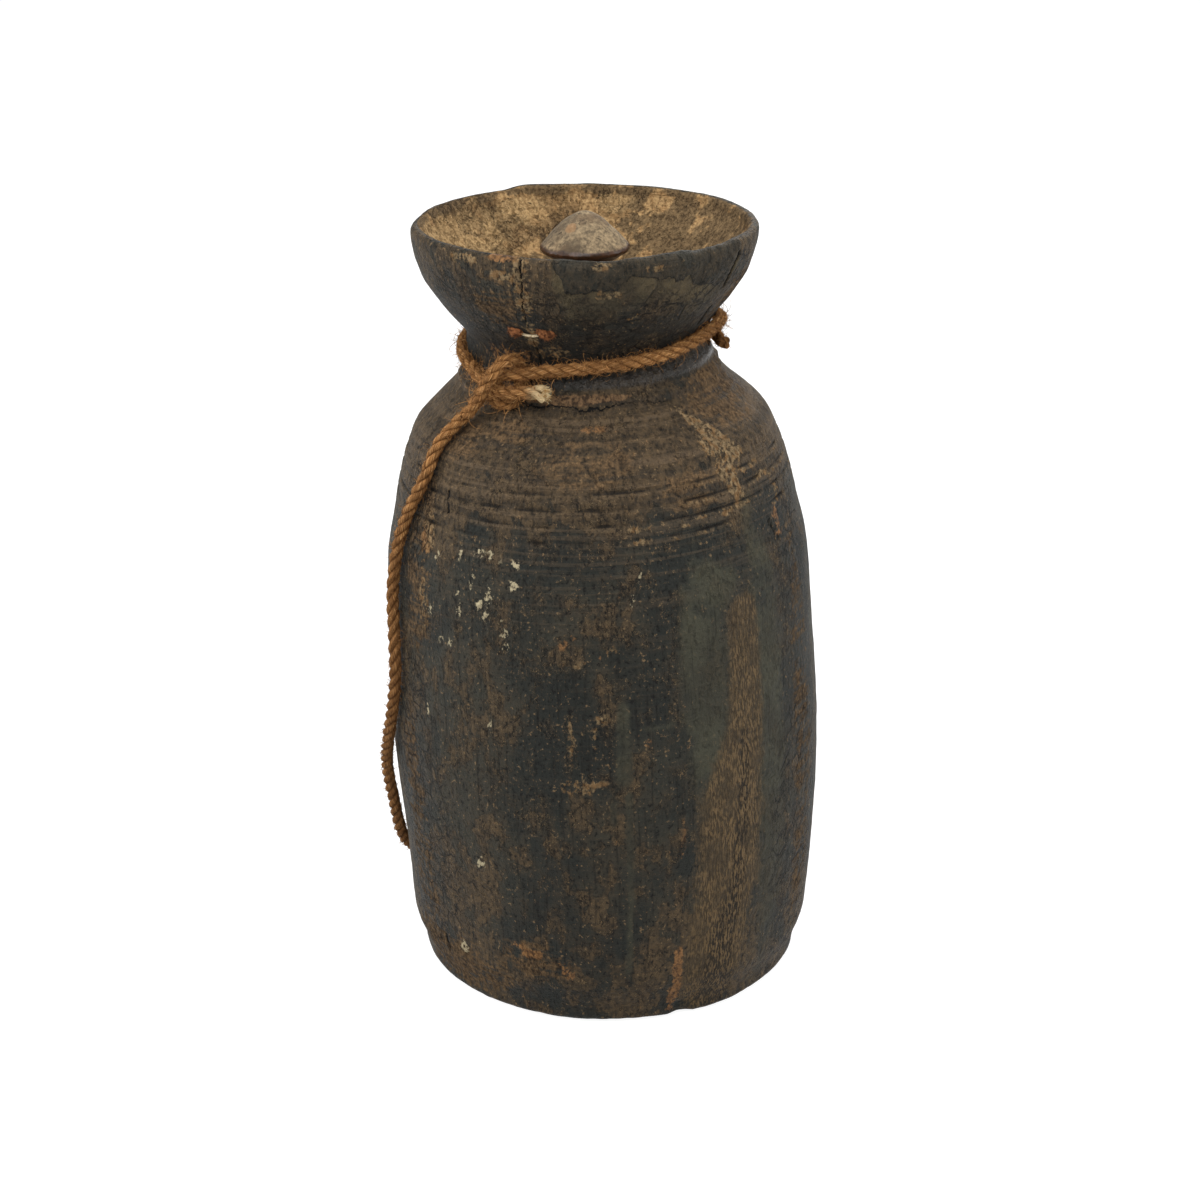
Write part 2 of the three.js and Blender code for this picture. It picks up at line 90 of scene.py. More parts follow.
def add_node(tree, kind, inputs=None, **settings):
    """A node with its settings made and its inputs filled, each by a value or by a link."""
    made = tree.nodes.new(kind)
    for name, value in settings.items():
        setattr(made, name, value)
    for name, value in (inputs or {}).items():
        if isinstance(value, bpy.types.NodeSocket):
            tree.links.new(value, made.inputs[name])
        else:
            made.inputs[name].default_value = value
    return made


def fed(kind, inputs, **settings):
    """A node in the tree of the first socket that feeds it."""
    tree = next(value.id_data for value in inputs.values() if isinstance(value, bpy.types.NodeSocket))
    return add_node(tree, kind, inputs, **settings)


def math_node(operation, *values):
    return fed("ShaderNodeMath", dict(enumerate(values)), operation=operation).outputs[0]


def larger(value, other):
    return math_node("MAXIMUM", value, other)


def bare_tree(owner):
    """The node tree of a material or a world, with nothing in it yet."""
    owner.use_nodes = True
    owner.node_tree.nodes.clear()
    return owner.node_tree


def new_finish(name):
    made = bpy.data.materials.new(name)
    return made, bare_tree(made)


ROOM_LIGHT = 0.41
ROOM_TINT = (0.99, 1, 0.97, 1)
WHITE = (1, 1, 1, 1)
scene.world = bpy.data.worlds.new("room")
tree = bare_tree(scene.world)
lit = add_node(tree, "ShaderNodeBackground", {"Color": ROOM_TINT, "Strength": ROOM_LIGHT})
white = add_node(tree, "ShaderNodeBackground", {"Color": WHITE, "Strength": 1})
by_eye = add_node(tree, "ShaderNodeLightPath").outputs["Is Camera Ray"]
shown = fed("ShaderNodeMixShader", {0: by_eye, 1: lit.outputs[0], 2: white.outputs[0]})
fed("ShaderNodeOutputWorld", {"Surface": shown.outputs[0]})

POT_MIDDLE = Vector((0, 0, 0.17))
for name, place, size, watts in [
    ("key_light", (-0.4, -1.15, 1.25), 0.9, 11), ("top_light", (0.05, -0.2, 1.6), 1.1, 17),
    ("right_light", (1.35, -0.2, 0.6), 0.8, 10), ("left_light", (-1.35, -0.1, 0.6), 0.8, 11),
    ("back_light", (0.3, 1.35, 0.9), 0.9, 9),
]:
    light = bpy.data.lights.new(name, "AREA")
    light.shape = "SQUARE"
    light.size = size
    light.energy = watts
    lamp = placed(name, light)
    lamp.location = place
    lamp.rotation_euler = (POT_MIDDLE - Vector(place)).to_track_quat("-Z", "Y").to_euler()

# The paper glows to the eye, so that it is white with a faint shadow, and throws back plain light
HALF_SHEET = 3
SHEET_DROP = 0.3
SHEET_GLOW = 0.905
floor_mesh = bpy.data.meshes.new("floor")
corners = [(x * HALF_SHEET, y * HALF_SHEET, 0) for x, y in ((-1, -1), (1, -1), (1, 1), (-1, 1))]
floor_mesh.from_pydata(corners, [], [(0, 1, 2, 3)])
floor = placed("floor", floor_mesh)
floor.location.z = -SHEET_DROP * MM
paper, tree = new_finish("white_paper")
bounce = add_node(tree, "ShaderNodeBsdfDiffuse", {"Color": (0.5, 0.5, 0.5, 1)})
shadowed = add_node(tree, "ShaderNodeBsdfDiffuse", {"Color": (0.25, 0.25, 0.25, 1)})
glow = add_node(tree, "ShaderNodeEmission", {"Color": WHITE, "Strength": SHEET_GLOW})
as_seen = fed("ShaderNodeAddShader", {0: shadowed.outputs[0], 1: glow.outputs[0]})
path = add_node(tree, "ShaderNodeLightPath").outputs
in_a_shine = larger(path["Is Glossy Ray"], path["Is Transmission Ray"])
seen = larger(path["Is Camera Ray"], in_a_shine)
sheet = fed("ShaderNodeMixShader", {0: seen, 1: bounce.outputs[0], 2: as_seen.outputs[0]})
fed("ShaderNodeOutputMaterial", {"Surface": sheet.outputs[0]})
floor_mesh.materials.append(paper)


# Pot body
# One piece of wood, turned and hollowed: a round-shouldered jar with four scored rings, a bead round
# its collar and a flared bowl for a mouth. Smoke, grease and handling have left it almost black.
FOOT_FLAT_RADIUS = 75
FOOT_RADIUS = 80.5
FOOT_EDGE = 4
COLLAR = 259
BEAD_LEVEL = COLLAR + 6.5
BEAD_HALF_WIDTH = 4
BEAD_HEIGHT = 0.9
RIM_RADIUS = 69.7
RIM_LEVEL = COLLAR + 58.5
LIP_RADIUS = 2.5
WALL = 11
FLOOR_THICKNESS = 16
FLOOR_ROUND = 14
THROAT_TOP = COLLAR + 28
THROAT_BOTTOM = THROAT_TOP - 26
THROAT_TOP_RADIUS = 36
THROAT_BOTTOM_RADIUS = 33
FUNNEL_LEVEL = COLLAR + 43
FUNNEL_RADIUS = 54
BOWL_LEVEL = COLLAR + 32.5
BELLY_LEVEL = 107
SHOULDER_LEVEL = COLLAR - 53
SHOULDER_RADIUS = 82.5
CROWN_LEVEL = COLLAR - 23
CROWN_RADIUS = 73.7


def smooth_through(stations):
    """A curve of a value against height through (height, value), which never overshoots them."""
    heights, values = np.array(stations, float).T
    steps = np.diff(values) / np.diff(heights)
    slopes = np.zeros(len(heights))
    for i in range(1, len(heights) - 1):
        below, above = steps[i - 1], steps[i]
        if below * above > 0:
            slopes[i] = 2 * below * above / (below + above)

    def value(height):
        height = np.clip(height, heights[0], heights[-1])
        i = np.clip(np.searchsorted(heights, height, side="right") - 1, 0, len(heights) - 2)
        span = heights[i + 1] - heights[i]
        t = (height - heights[i]) / span
        rise = t * t * (3 - 2 * t)
        bend = slopes[i] * t * (1 - t) ** 2 + slopes[i + 1] * t * t * (t - 1)
        return values[i] * (1 - rise) + values[i + 1] * rise + span * bend

    return value


turned_radius = smooth_through([
    (FOOT_EDGE, FOOT_RADIUS), (21, 85.2), (BELLY_LEVEL, 90), (COLLAR - 79, 87.2),
    (SHOULDER_LEVEL, SHOULDER_RADIUS), (CROWN_LEVEL, CROWN_RADIUS), (COLLAR, 52.8), (COLLAR + 7.8, 48.5),
    (COLLAR + 14.3, 47.7), (BOWL_LEVEL, 59.5), (COLLAR + 42.5, 65.7), (RIM_LEVEL, RIM_RADIUS),
])
axis_shift = smooth_through([
    (0, 2.2), (55, 2.2), (BELLY_LEVEL, 0), (COLLAR, -6.3), (BOWL_LEVEL, -7.7), (RIM_LEVEL, -8.2),
])


def skin_radius(level):
    across = np.clip((level - BEAD_LEVEL) / BEAD_HALF_WIDTH, -1, 1)
    return turned_radius(level) + BEAD_HEIGHT * np.cos(across * math.pi / 2) ** 2


def lean(points):
    """Points of the upright pot, carried to where its leaning axis puts them."""
    x, y, z = points.T
    slope = axis_shift(z + 0.5) - axis_shift(z - 0.5)
    return np.column_stack([x + axis_shift(z), y, z - slope * x])


def arc(centre_radius, centre_level, across, up, start, end, count):
    a = np.radians(np.linspace(start, end, count))
    return np.column_stack([centre_radius + across * np.cos(a), centre_level + up * np.sin(a)])


def ring_levels(low, high, step):
    """Levels about a step apart, from the low one up to just short of the high one, or down."""
    return np.linspace(low, high, max(2, round(abs(high - low) / step) + 1))[:-1]


def wrapped(degrees):
    return (degrees + 180) % 360 - 180


def ease(low, high, value):
    t = np.clip((value - low) / (high - low), 0, 1)
    return t * t * (3 - 2 * t)


def ring_points(radius, angle, level):
    return np.stack([radius * np.cos(angle), radius * np.sin(angle), level], axis=-1)


def rough(points, size, octaves=3):
    """Unevenness from about -1 to 1 at each point, in lumps of about the given size."""
    return np.array([noise.fractal(Vector(p) / size, 1.0, 2.0, octaves) for p in points])


# The outline, as (radius, level) up the outside, over the lip and down the inside
FLARE_LEVEL = 24
UNDER_COLLAR = COLLAR - 5
OVER_BEAD = COLLAR + 12
outside_levels = np.concatenate([
    ring_levels(FOOT_EDGE, FLARE_LEVEL, 2.2), ring_levels(FLARE_LEVEL, SHOULDER_LEVEL, 2.8),
    ring_levels(SHOULDER_LEVEL, CROWN_LEVEL, 0.85), ring_levels(CROWN_LEVEL, UNDER_COLLAR, 1.5),
    ring_levels(UNDER_COLLAR, OVER_BEAD, 0.7), ring_levels(OVER_BEAD, RIM_LEVEL, 1.15),
])
foot = arc(FOOT_FLAT_RADIUS, FOOT_EDGE, FOOT_RADIUS - FOOT_FLAT_RADIUS, FOOT_EDGE, -90, 0, 6)[:-1]
outside = np.column_stack([skin_radius(outside_levels), outside_levels])
lip = arc(RIM_RADIUS - LIP_RADIUS, RIM_LEVEL, LIP_RADIUS, LIP_RADIUS, 0, 180, 9)[:-1]
funnel_slope = (FUNNEL_RADIUS - THROAT_TOP_RADIUS) / (FUNNEL_LEVEL - THROAT_TOP)
funnel_radius = smooth_through([
    (THROAT_TOP - 1, THROAT_TOP_RADIUS - funnel_slope), (THROAT_TOP, THROAT_TOP_RADIUS),
    (FUNNEL_LEVEL, FUNNEL_RADIUS), (RIM_LEVEL, RIM_RADIUS - 2 * LIP_RADIUS),
])
funnel_levels = ring_levels(RIM_LEVEL, THROAT_TOP, 1.05)
funnel = np.column_stack([funnel_radius(funnel_levels), funnel_levels])
hollow_radius = smooth_through([
    (BELLY_LEVEL, 90 - WALL), (SHOULDER_LEVEL, SHOULDER_RADIUS - WALL), (CROWN_LEVEL, CROWN_RADIUS - WALL),
    (THROAT_BOTTOM, THROAT_BOTTOM_RADIUS),
])
hollow_levels = np.concatenate([
    ring_levels(THROAT_BOTTOM, CROWN_LEVEL, 6), ring_levels(CROWN_LEVEL, BELLY_LEVEL, 20), [BELLY_LEVEL],
])
hollow = np.column_stack([hollow_radius(hollow_levels), hollow_levels])
floor_edge = FLOOR_THICKNESS + FLOOR_ROUND
lower_levels = ring_levels(BELLY_LEVEL, floor_edge, 20)[1:]
lower = np.column_stack([turned_radius(lower_levels) - WALL, lower_levels])
floor_middle = float(turned_radius(floor_edge)) - WALL - FLOOR_ROUND
inner_floor = arc(floor_middle, floor_edge, FLOOR_ROUND, FLOOR_ROUND, 0, -90, 5)
throat = np.array([[THROAT_TOP_RADIUS, THROAT_TOP]])
outline = np.vstack([foot, outside, lip, funnel, throat, hollow, lower, inner_floor])
first_lip = len(foot) + len(outside)
first_funnel = first_lip + len(lip)
first_throat = first_funnel + len(funnel)
past_lip = first_lip + 5

# Columns round the pot: closer on the front and the sides, closest beside the crack in the bowl
CRACK_ANGLE = -111
columns = np.unique(np.round(np.concatenate([
    np.arange(-210, 30, 0.85), np.arange(30, 150, 1.5),
    np.arange(CRACK_ANGLE - 2.4, CRACK_ANGLE + 2.4, 0.2),
]), 3))
outline_angle, outline_level = np.meshgrid(columns, outline[:, 1])
outline_radius = np.repeat(outline[:, :1], len(columns), axis=1)
row_number = np.repeat(np.arange(len(outline))[:, None], len(columns), axis=1)
is_outside = row_number < past_lip
angle_radians = np.radians(outline_angle)
upright = ring_points(outline_radius, angle_radians, outline_level)


def on_outside(values):
    return np.where(is_outside, values, 0)


def spot(angle, level, wide, tall, rows=is_outside):
    """A soft patch on the pot, 1 in its middle and a half at its edge; sizes are half sizes."""
    x = np.radians(wrapped(outline_angle - angle)) * outline_radius
    reach = np.hypot(x / wide, (outline_level - level) / tall)
    return np.where(rows, 1 - ease(0.5, 1.5, reach), 0)


def stroke(points):
    """A soft line on the outside through (angle, level, half width), a half at its edges."""
    line = np.zeros_like(outline_angle)
    for (a0, l0, w0), (a1, l1, w1) in zip(points, points[1:]):
        x = np.radians(wrapped(outline_angle - a0)) * outline_radius
        y = outline_level - l0
        run = math.radians(a1 - a0) * outline_radius
        climb = l1 - l0
        t = np.clip((x * run + y * climb) / (run**2 + climb**2 + 1e-9), 0, 1)
        away = np.hypot(x - t * run, y - t * climb)
        width = w0 + (w1 - w0) * t
        line = np.maximum(line, 1 - ease(0.4, 1.6, away / width))
    return on_outside(line)


def worn(patches, lines=(), rows=is_outside):
    """The strongest of soft patches and soft lines at each point; each starts with its strength."""
    marks = [strength * spot(*place, rows) for strength, *place in patches]
    marks += [strength * stroke(points) for strength, *points in lines]
    return np.maximum.reduce(marks)


# Cracks: the long one down the bowl, those in the collar, and short ones where the wood has checked
MAIN_CRACK = [
    (266, -112, 0), (272, -112, 0.18), (284, -111.6, 0.1), (291, -111.4, 0), (295, -111.2, 0.12),
    (300, -111, 0.2), (308, -110, 0.24), (321, -110, 0.28),
]
COLLAR_CRACK = [
    (-126, 259.2, 0), (-122, 258.8, 0.2), (-112, 258, 0.32), (-104, 258.4, 0.26), (-97, 258.2, 0.16),
    (-92, 257, 0.34), (-85, 257.4, 0.34), (-79, 258.2, 0.2), (-70, 258.6, 0.06), (-60, 257.2, 0.12),
    (-48, 256.4, 0),
]
crack_levels, crack_angles, crack_openings = np.array(MAIN_CRACK).T
crack_place = np.interp(outline_level, crack_levels, crack_angles)
main_line = np.radians(wrapped(outline_angle - crack_place)) * outline_radius
main_open = on_outside(np.interp(outline_level, crack_levels, crack_openings))
collar_angles, collar_levels, collar_openings = np.array(COLLAR_CRACK).T
around_collar = wrapped(outline_angle)
collar_line = outline_level - np.interp(around_collar, collar_angles, collar_levels)
collar_open = on_outside(np.interp(around_collar, collar_angles, collar_openings, left=0, right=0))
main_crack = (1 - ease(0.15, 0.7, np.abs(main_line))) * np.minimum(1, 3 * main_open)
collar_crack = (1 - ease(0.3, 1.2, np.abs(collar_line))) * np.minimum(1, 3 * collar_open)
checks = worn([], [
    (1, (-31, 315, 0.6), (-33, 308, 0.7), (-35, 301, 0.5)), (1, (-36, 292, 0.4), (-34, 284, 0.5)),
    (1, (-137, 226, 0.5), (-136, 218, 0.6)), (1, (-33, 206, 0.5), (-30, 197, 0.6)),
    (1, (-144, 25, 0.9), (-143, 20, 0.7)), (1, (58, 300, 0.6), (60, 280, 0.5)),
    (1, (120, 96, 0.5), (119, 62, 0.6)),
])
# Thick crust that still clings under the rim on the right, with its broken lower edge
crust_edge_level = np.interp(
    outline_angle,
    [-100, -97, -96, -88, -79, -78, -75, -67, -62, -59, -54, -51, -38, -34, -30],
    [319, 313, 307, 308, 308, 312, 314, 312, 312, 309, 311, 305, 304, 314, 319],
    left=330, right=330,
)
above_crust_edge = on_outside(outline_level - crust_edge_level)
crust = on_outside(ease(-0.6, 0.6, above_crust_edge))
flaked = np.where(crust_edge_level > 325, 0, on_outside(1 - ease(5, 17, -above_crust_edge)))

# The unevenness of hand work, the scored rings with their worn edges, the collar, the bead and the rim
LUMP_SIZE = 42
DENT_SIZE = 11
PIMPLE_SIZE = 3.2
flat = upright.reshape(-1, 3)
lumps = rough(flat, LUMP_SIZE, 2).reshape(outline_level.shape)
dents = rough(flat + 500, DENT_SIZE, 3).reshape(outline_level.shape)
pimples = rough(flat + 900, PIMPLE_SIZE, 2).reshape(outline_level.shape)
TOP_GROOVE = COLLAR - 28.8
GROOVE_GAP = 6
GROOVES = 4
GROOVE_HALF_WIDTH = 1.1
GROOVE_DEPTH = 0.9
groove = np.zeros_like(outline_level)
groove_edge = np.zeros_like(outline_level)
for i in range(GROOVES):
    wander = outline_level - (TOP_GROOVE - GROOVE_GAP * i) - 0.5 * lumps
    groove = np.maximum(groove, 1 - ease(0, GROOVE_HALF_WIDTH, np.abs(wander)))
    groove_edge = np.maximum(groove_edge, 1 - ease(0.2, 1.1, np.abs(wander + 1.5)))
groove_depth = np.clip(0.62 + 1.3 * dents, 0.08, 1.1)
groove = on_outside(groove * groove_depth)
groove_edge = on_outside(groove_edge * groove_depth)
collar_lip = on_outside(ease(257.8, 259, outline_level) - ease(261, 263.5, outline_level))
BEAD_CREST = 266.2
BEAD_REACH = 4.2
across_bead = np.clip((outline_level - BEAD_CREST) / BEAD_REACH, -1, 1)
bead = on_outside(np.cos(across_bead * math.pi / 2) ** 2)
near_rim = ease(RIM_LEVEL - 22, RIM_LEVEL, outline_level)
back_left = ease(112, 122, outline_angle % 360) - ease(170, 196, outline_angle % 360)
worn_rim = back_left * ease(RIM_LEVEL - 3, RIM_LEVEL + 2, outline_level)

# How far the skin stands out from the turned shape; the neck is fuller behind the rope at both sides
LUMP_HEIGHT = 0.45
RIM_LUMP_HEIGHT = 0.5
DENT_DEPTH = 0.22
PIMPLE_HEIGHT = 0.08
CRUST_THICKNESS = 0.7
BEAD_SWELL = 0.7
MAIN_CRACK_DEPTH = 0.7
COLLAR_CRACK_DEPTH = 0.8
CHECK_DEPTH = 0.9
FOOT_CHIP = 1.6
RIM_WEAR = 1.5
NECK_LEFT_SWELL = 1.7
NECK_RIGHT_SWELL = 1.4
skin_shown = row_number < first_throat
raised = (
    (LUMP_HEIGHT + RIM_LUMP_HEIGHT * near_rim) * lumps + DENT_DEPTH * dents + PIMPLE_HEIGHT * pimples
    - GROOVE_DEPTH * groove + CRUST_THICKNESS * crust * (0.6 + dents) + collar_lip * (0.6 + 1.1 * dents)
    + BEAD_SWELL * bead - MAIN_CRACK_DEPTH * main_crack - COLLAR_CRACK_DEPTH * collar_crack
    - CHECK_DEPTH * checks - FOOT_CHIP * spot(-68, 4, 5, 4) - RIM_WEAR * worn_rim
    + NECK_LEFT_SWELL * spot(180, 270.5, 17, 5.5) + NECK_RIGHT_SWELL * spot(4, 279, 13, 5)
)
raised = np.where(skin_shown, raised, 0)
raised = np.where(outline_level < 0.5, np.minimum(raised, 0), raised)
tangent = np.gradient(outline, axis=0)
tangent /= np.linalg.norm(tangent, axis=1)[:, None]
moved_radius = outline_radius + raised * tangent[:, 1:2]
moved_level = np.maximum(outline_level - raised * tangent[:, 0:1], 0)
carved = ring_points(moved_radius, angle_radians, moved_level)


def ring_faces(count, sides, first=0):
    """Faces that join each ring of points to the next one."""
    faces = []
    for low in range(first, first + (count - 1) * sides, sides):
        for k in range(sides):
            beside = (k + 1) % sides
            faces.append((low + k, low + beside, low + sides + beside, low + sides + k))
    return faces


def mesh_of(name, points, faces, links=()):
    """A mesh from points in millimetres."""
    made = bpy.data.meshes.new(name)
    made.from_pydata((np.array(points) * MM).tolist(), links, faces)
    return made


def turned_mesh(name, rings, low_middle, high_middle):
    """A closed mesh from rings of points, each ring round the axis, with a middle point at both ends."""
    count, sides = rings.shape[:2]
    points = np.vstack([lean(rings.reshape(-1, 3)), lean(np.array([low_middle, high_middle], float))])
    low = count * sides
    last = low - sides
    faces = ring_faces(count, sides)
    faces += [(low, (k + 1) % sides, k) for k in range(sides)]
    faces += [(last + k, last + (k + 1) % sides, low + 1) for k in range(sides)]
    made = mesh_of(name, points, faces)
    made.shade_smooth()
    return made


def keep(mesh, name, values):
    """A value or a direction for each point of a mesh, for its finish or its tree to read."""
    kind, field = ("FLOAT_VECTOR", "vector") if values.ndim > 1 else ("FLOAT", "value")
    kept = mesh.attributes.new(name, kind, "POINT")
    kept.data.foreach_set(field, values.astype(np.float32).ravel())


def keep_values(mesh, name, values):
    """A value for each point of a turned mesh; the two middle points take the end rings' mean."""
    keep(mesh, name, np.concatenate([values.ravel(), [values[0].mean(), values[-1].mean()]]))


def keep_upright(mesh, rings, low_middle, high_middle):
    """Each point's place on the upright piece, which its grain and turning marks follow."""
    keep(mesh, "upright", np.vstack([rings.reshape(-1, 3), low_middle, high_middle]) * MM)


def piece(name, mesh, body, *nodes):
    made = placed(name, mesh)
    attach(made, body)
    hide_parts(*nodes)
    return made


pot_ends = ((0, 0, 0), (0, 0, FLOOR_THICKNESS))
pot_mesh = turned_mesh("pot_body_wood", carved, *pot_ends)
keep_upright(pot_mesh, upright, *pot_ends)

# Where the finish has worn, given one by one: patches as (strength, angle, level, half width, half height),
# and lines as a strength followed by points of (angle, level, half width)
raw = worn([
    (0.62, -146, 190, 9, 30), (0.75, -28, 254, 22, 10), (0.8, -121, 249, 9, 4),
    (0.75, -139, 244, 12, 6), (0.42, -24, 105, 9, 95), (0.48, -152, 60, 10, 70),
    (0.6, -140, 16, 30, 14), (0.6, -112, 30, 18, 9), (0.6, -60, 228, 14, 9), (0.55, -92, 240, 20, 8),
    (0.6, -121, 300, 10, 12), (0.6, -20, 290, 12, 18), (0.5, 70, 120, 18, 66), (0.54, 140, 190, 22, 18),
    (0.5, 20, 40, 24, 30), (0.7, 100, 250, 30, 10), (0.65, 90, 300, 30, 8),
], [
    (0.8, (-146, 228, 2.5), (-144, 214, 3.6), (-144.5, 202, 3.4)),
])
tan = worn([
    (0.68, -48, 240, 6, 5), (0.7, -45, 233, 6, 6), (0.7, -44, 224, 4, 7), (0.7, -35, 229, 6, 1.4),
    (0.7, -31, 224, 5, 1.4), (0.65, -51, 216, 4, 2), (0.6, -66, 215, 5, 1.2), (0.6, -77, 216, 5, 1.2),
    (0.6, -77, 211, 4, 1.2), (0.6, -25, 214, 3, 4), (0.5, -98, 133, 1.4, 9), (0.5, -96, 113, 10, 3),
    (0.5, -91, 141, 4, 2), (0.5, -92, 131, 1.4, 6), (0.6, -124, 211, 4, 1.6), (0.55, -89, 193, 3, 1.2),
    (0.3, -86.5, 170, 3, 2), (0.26, -95, 164, 3, 1.6), (0.55, -84, 318, 4, 1.6),
    (0.5, -67, 316, 4, 1.6), (0.5, -73, 295, 3, 2.4), (0.45, -83, 306, 6, 2), (0.85, -131, 317, 6, 2),
    (0.8, -117, 313, 5, 2), (0.6, -104, 279, 7, 3), (0.6, 66, 316, 9, 2.4), (0.5, -143, 196, 4, 24),
    (0.65, 110, 230, 6, 8), (0.6, 150, 120, 5, 14), (0.55, 40, 200, 8, 6),
], [
    (0.9, (-54, 254, 1.2), (-48, 247, 2.4), (-43, 241, 3.4), (-40, 235, 3.4), (-39, 229, 2)),
    (0.62, (-110, 318, 3.6), (-111, 300, 3.8), (-112, 284, 2.2)),
])
tan = np.maximum(tan, 0.5 * groove_edge * ease(-100, -50, wrapped(outline_angle)))
rust = worn([
    (1, -144, 204, 3, 6), (0.7, -29, 203, 2.6, 7), (0.9, -116, 319.5, 6, 1.4), (0.7, -97, 176, 3, 1),
    (0.6, -99, 173, 1.8, 1), (0.6, -90, 166, 2, 1), (0.45, -89, 250.5, 6, 0.8), (0.5, -130, 276, 12, 4),
    (0.6, 125, 60, 5, 3),
], [
    (0.2, (-70, 95, 0.7), (-70.5, 68, 0.9)), (0.9, (-71, 36, 1.6), (-72, 5, 2.4)),
    (0.85, (-117, 35, 0.8), (-113, 33, 1.6), (-109, 32, 0.7)), (0.85, (-105, 33, 0.6), (-101, 24, 1.1)),
    (0.45, (-83, 132, 0.5), (-77, 130, 0.6)),
])
CREAM_SPOTS = [
    (-138, 200.2, 2, 2.6), (-129.3, 204.5, 1.4, 3), (-122.9, 205.8, 3, 2), (-119.6, 205.8, 2, 2),
    (-116.5, 204.5, 3, 1.6), (-111.7, 202.2, 3, 2), (-124.9, 194.3, 1.4, 3.6), (-129.5, 188.9, 1, 3),
    (-112.1, 195.1, 3, 1.2), (-119.6, 189.3, 2.6, 4), (-122, 185.9, 2.4, 3), (-139.9, 178, 2.6, 2),
    (-128.8, 182.2, 1.4, 3.4), (-120.1, 181.1, 2, 3), (-115.9, 181.7, 1, 2), (-120, 174.1, 2.4, 1.2),
    (-114.7, 175.4, 2, 1), (-135.8, 167.5, 3, 1.2), (-132, 167.4, 2.4, 1), (-123.8, 168.1, 4.4, 1.3),
    (-114.5, 169.7, 1.6, 2.4), (-78.2, 197.1, 1, 1), (-80.9, 188.2, 1.5, 2), (-126, 72, 2.6, 3.4),
    (-120, 136, 0.8, 2.6), (-142, 135, 1, 3.6), (-135, 25, 4, 2.6), (130, 150, 3, 2), (127, 143, 2, 4),
]
cream = worn([(0.76, a, level, 0.68 * wide, 0.7 * tall) for a, level, wide, tall in CREAM_SPOTS])
green = worn([
    (0.95, -62, 150, 10, 50), (0.8, -58, 190, 12, 10), (0.9, -41, 110, 9, 95),
], [
    (0.8, (-84, 108, 1.4), (-85, 27, 1.8)), (0.7, (-84, 146, 2.4), (-85, 116, 3.4)),
    (0.7, (-88, 106, 1), (-88, 97, 1.2)), (0.8, (-82, 137, 0.9), (-72, 136, 0.8)),
    (0.8, (-100, 79, 0.5), (-91, 79, 0.6)),
])
brown = stroke([(-49, 176, 7), (-50, 130, 9), (-55, 100, 15), (-57, 64, 15), (-61, 14, 13)])
pitted = stroke([(-51, 124, 2), (-52, 92, 3), (-54, 60, 3.6), (-58, 36, 6), (-59, 8, 8)])
crazed = worn([
    (0.6, -140, 292, 26, 24), (0.75, -30, 292, 24, 24), (0.72, -152, 70, 24, 90),
    (0.7, -26, 70, 22, 90), (0.7, -24, 190, 16, 40), (0.6, -90, 296, 40, 12), (0.7, -152, 210, 14, 40),
    (0.6, -100, 276, 50, 10), (0.7, 60, 100, 60, 40), (0.6, 120, 200, 40, 30),
])
warm_by_level = smooth_through([
    (0, 0.48), (30, 0.4), (80, 0.24), (150, 0.2), (190, 0.22), (212, 0.34), (224, 0.58), (250, 0.84),
    (262, 0.55), (272, 0.3), (290, 0.3), (320, 0.42),
])
scored_by_level = smooth_through([
    (0, 0.1), (150, 0.15), (205, 0.48), (230, 1), (255, 1), (268, 0.4), (300, 0.35), (320, 0.2),
])
# Painted shade on the neck under the bowl: darkest round the rope, fading out up the bowl's side
shade_by_level = smooth_through([(262, 0), (270, 0.45), (284, 0.5), (300, 0.12), (316, 0)])
inside = np.where(row_number >= past_lip, 1.0, 0.0)
inside = np.where(row_number == past_lip, 0.5, inside)
in_funnel = (row_number >= past_lip) & skin_shown
pale = worn([
    (1, 140, 306, 14, 9), (0.9, 116, 311, 10, 6), (0.6, 78, 313, 8, 4), (1, 175, 305, 26, 12),
    (0.7, -60, 304, 20, 10),
], rows=in_funnel)
bare_inside = worn([
    (0.9, 105, 296, 16, 8), (1, 20, 304, 24, 14), (0.95, 44, 307, 28, 14), (0.8, 70, 298, 12, 8),
    (0.95, -14, 304, 20, 12), (0.7, 160, 293, 14, 5), (0.75, -120, 300, 22, 10),
], rows=in_funnel)
under_rim = np.where(in_funnel, ease(314.5, 317.5, outline_level), 0)
bare_inside = np.maximum(bare_inside, 0.85 * under_rim)
raw_lip = stroke([
    (-125, 260.4, 1.2), (-112, 260.6, 1.7), (-92, 260.4, 1.9), (-80, 260.6, 1.2), (-72, 260.4, 0.5),
])
for name, values in {
    "pale": pale, "bare_inside": bare_inside, "raw_wood": raw, "tan_dust": tan, "rust_mark": rust,
    "cream_fleck": cream, "waxed": green, "bare_band": brown, "pitted": pitted, "crazed": crazed,
    "warm": warm_by_level(outline_level), "scored": scored_by_level(outline_level),
    "sooty": shade_by_level(outline_level), "inside": inside, "crack": checks, "groove": groove,
    "main_line": main_line, "above_crust_edge": above_crust_edge, "main_open": main_open,
    "collar_line": collar_line, "collar_open": collar_open, "raw_lip": raw_lip,
    "groove_edge": groove_edge, "polished": bead, "flaked": flaked,
}.items():
    keep_values(pot_mesh, name, values)


def paint(tone):
    """A tone as a screen shows it, from 0 to 255, as the light it stands for; a socket stays as it is."""
    if isinstance(tone, bpy.types.NodeSocket):
        return tone
    shown_as = np.array(tone) / 255
    light = np.where(shown_as <= 0.04045, shown_as / 12.92, ((shown_as + 0.055) / 1.055) ** 2.4)
    return (*[float(part) for part in light], 1.0)


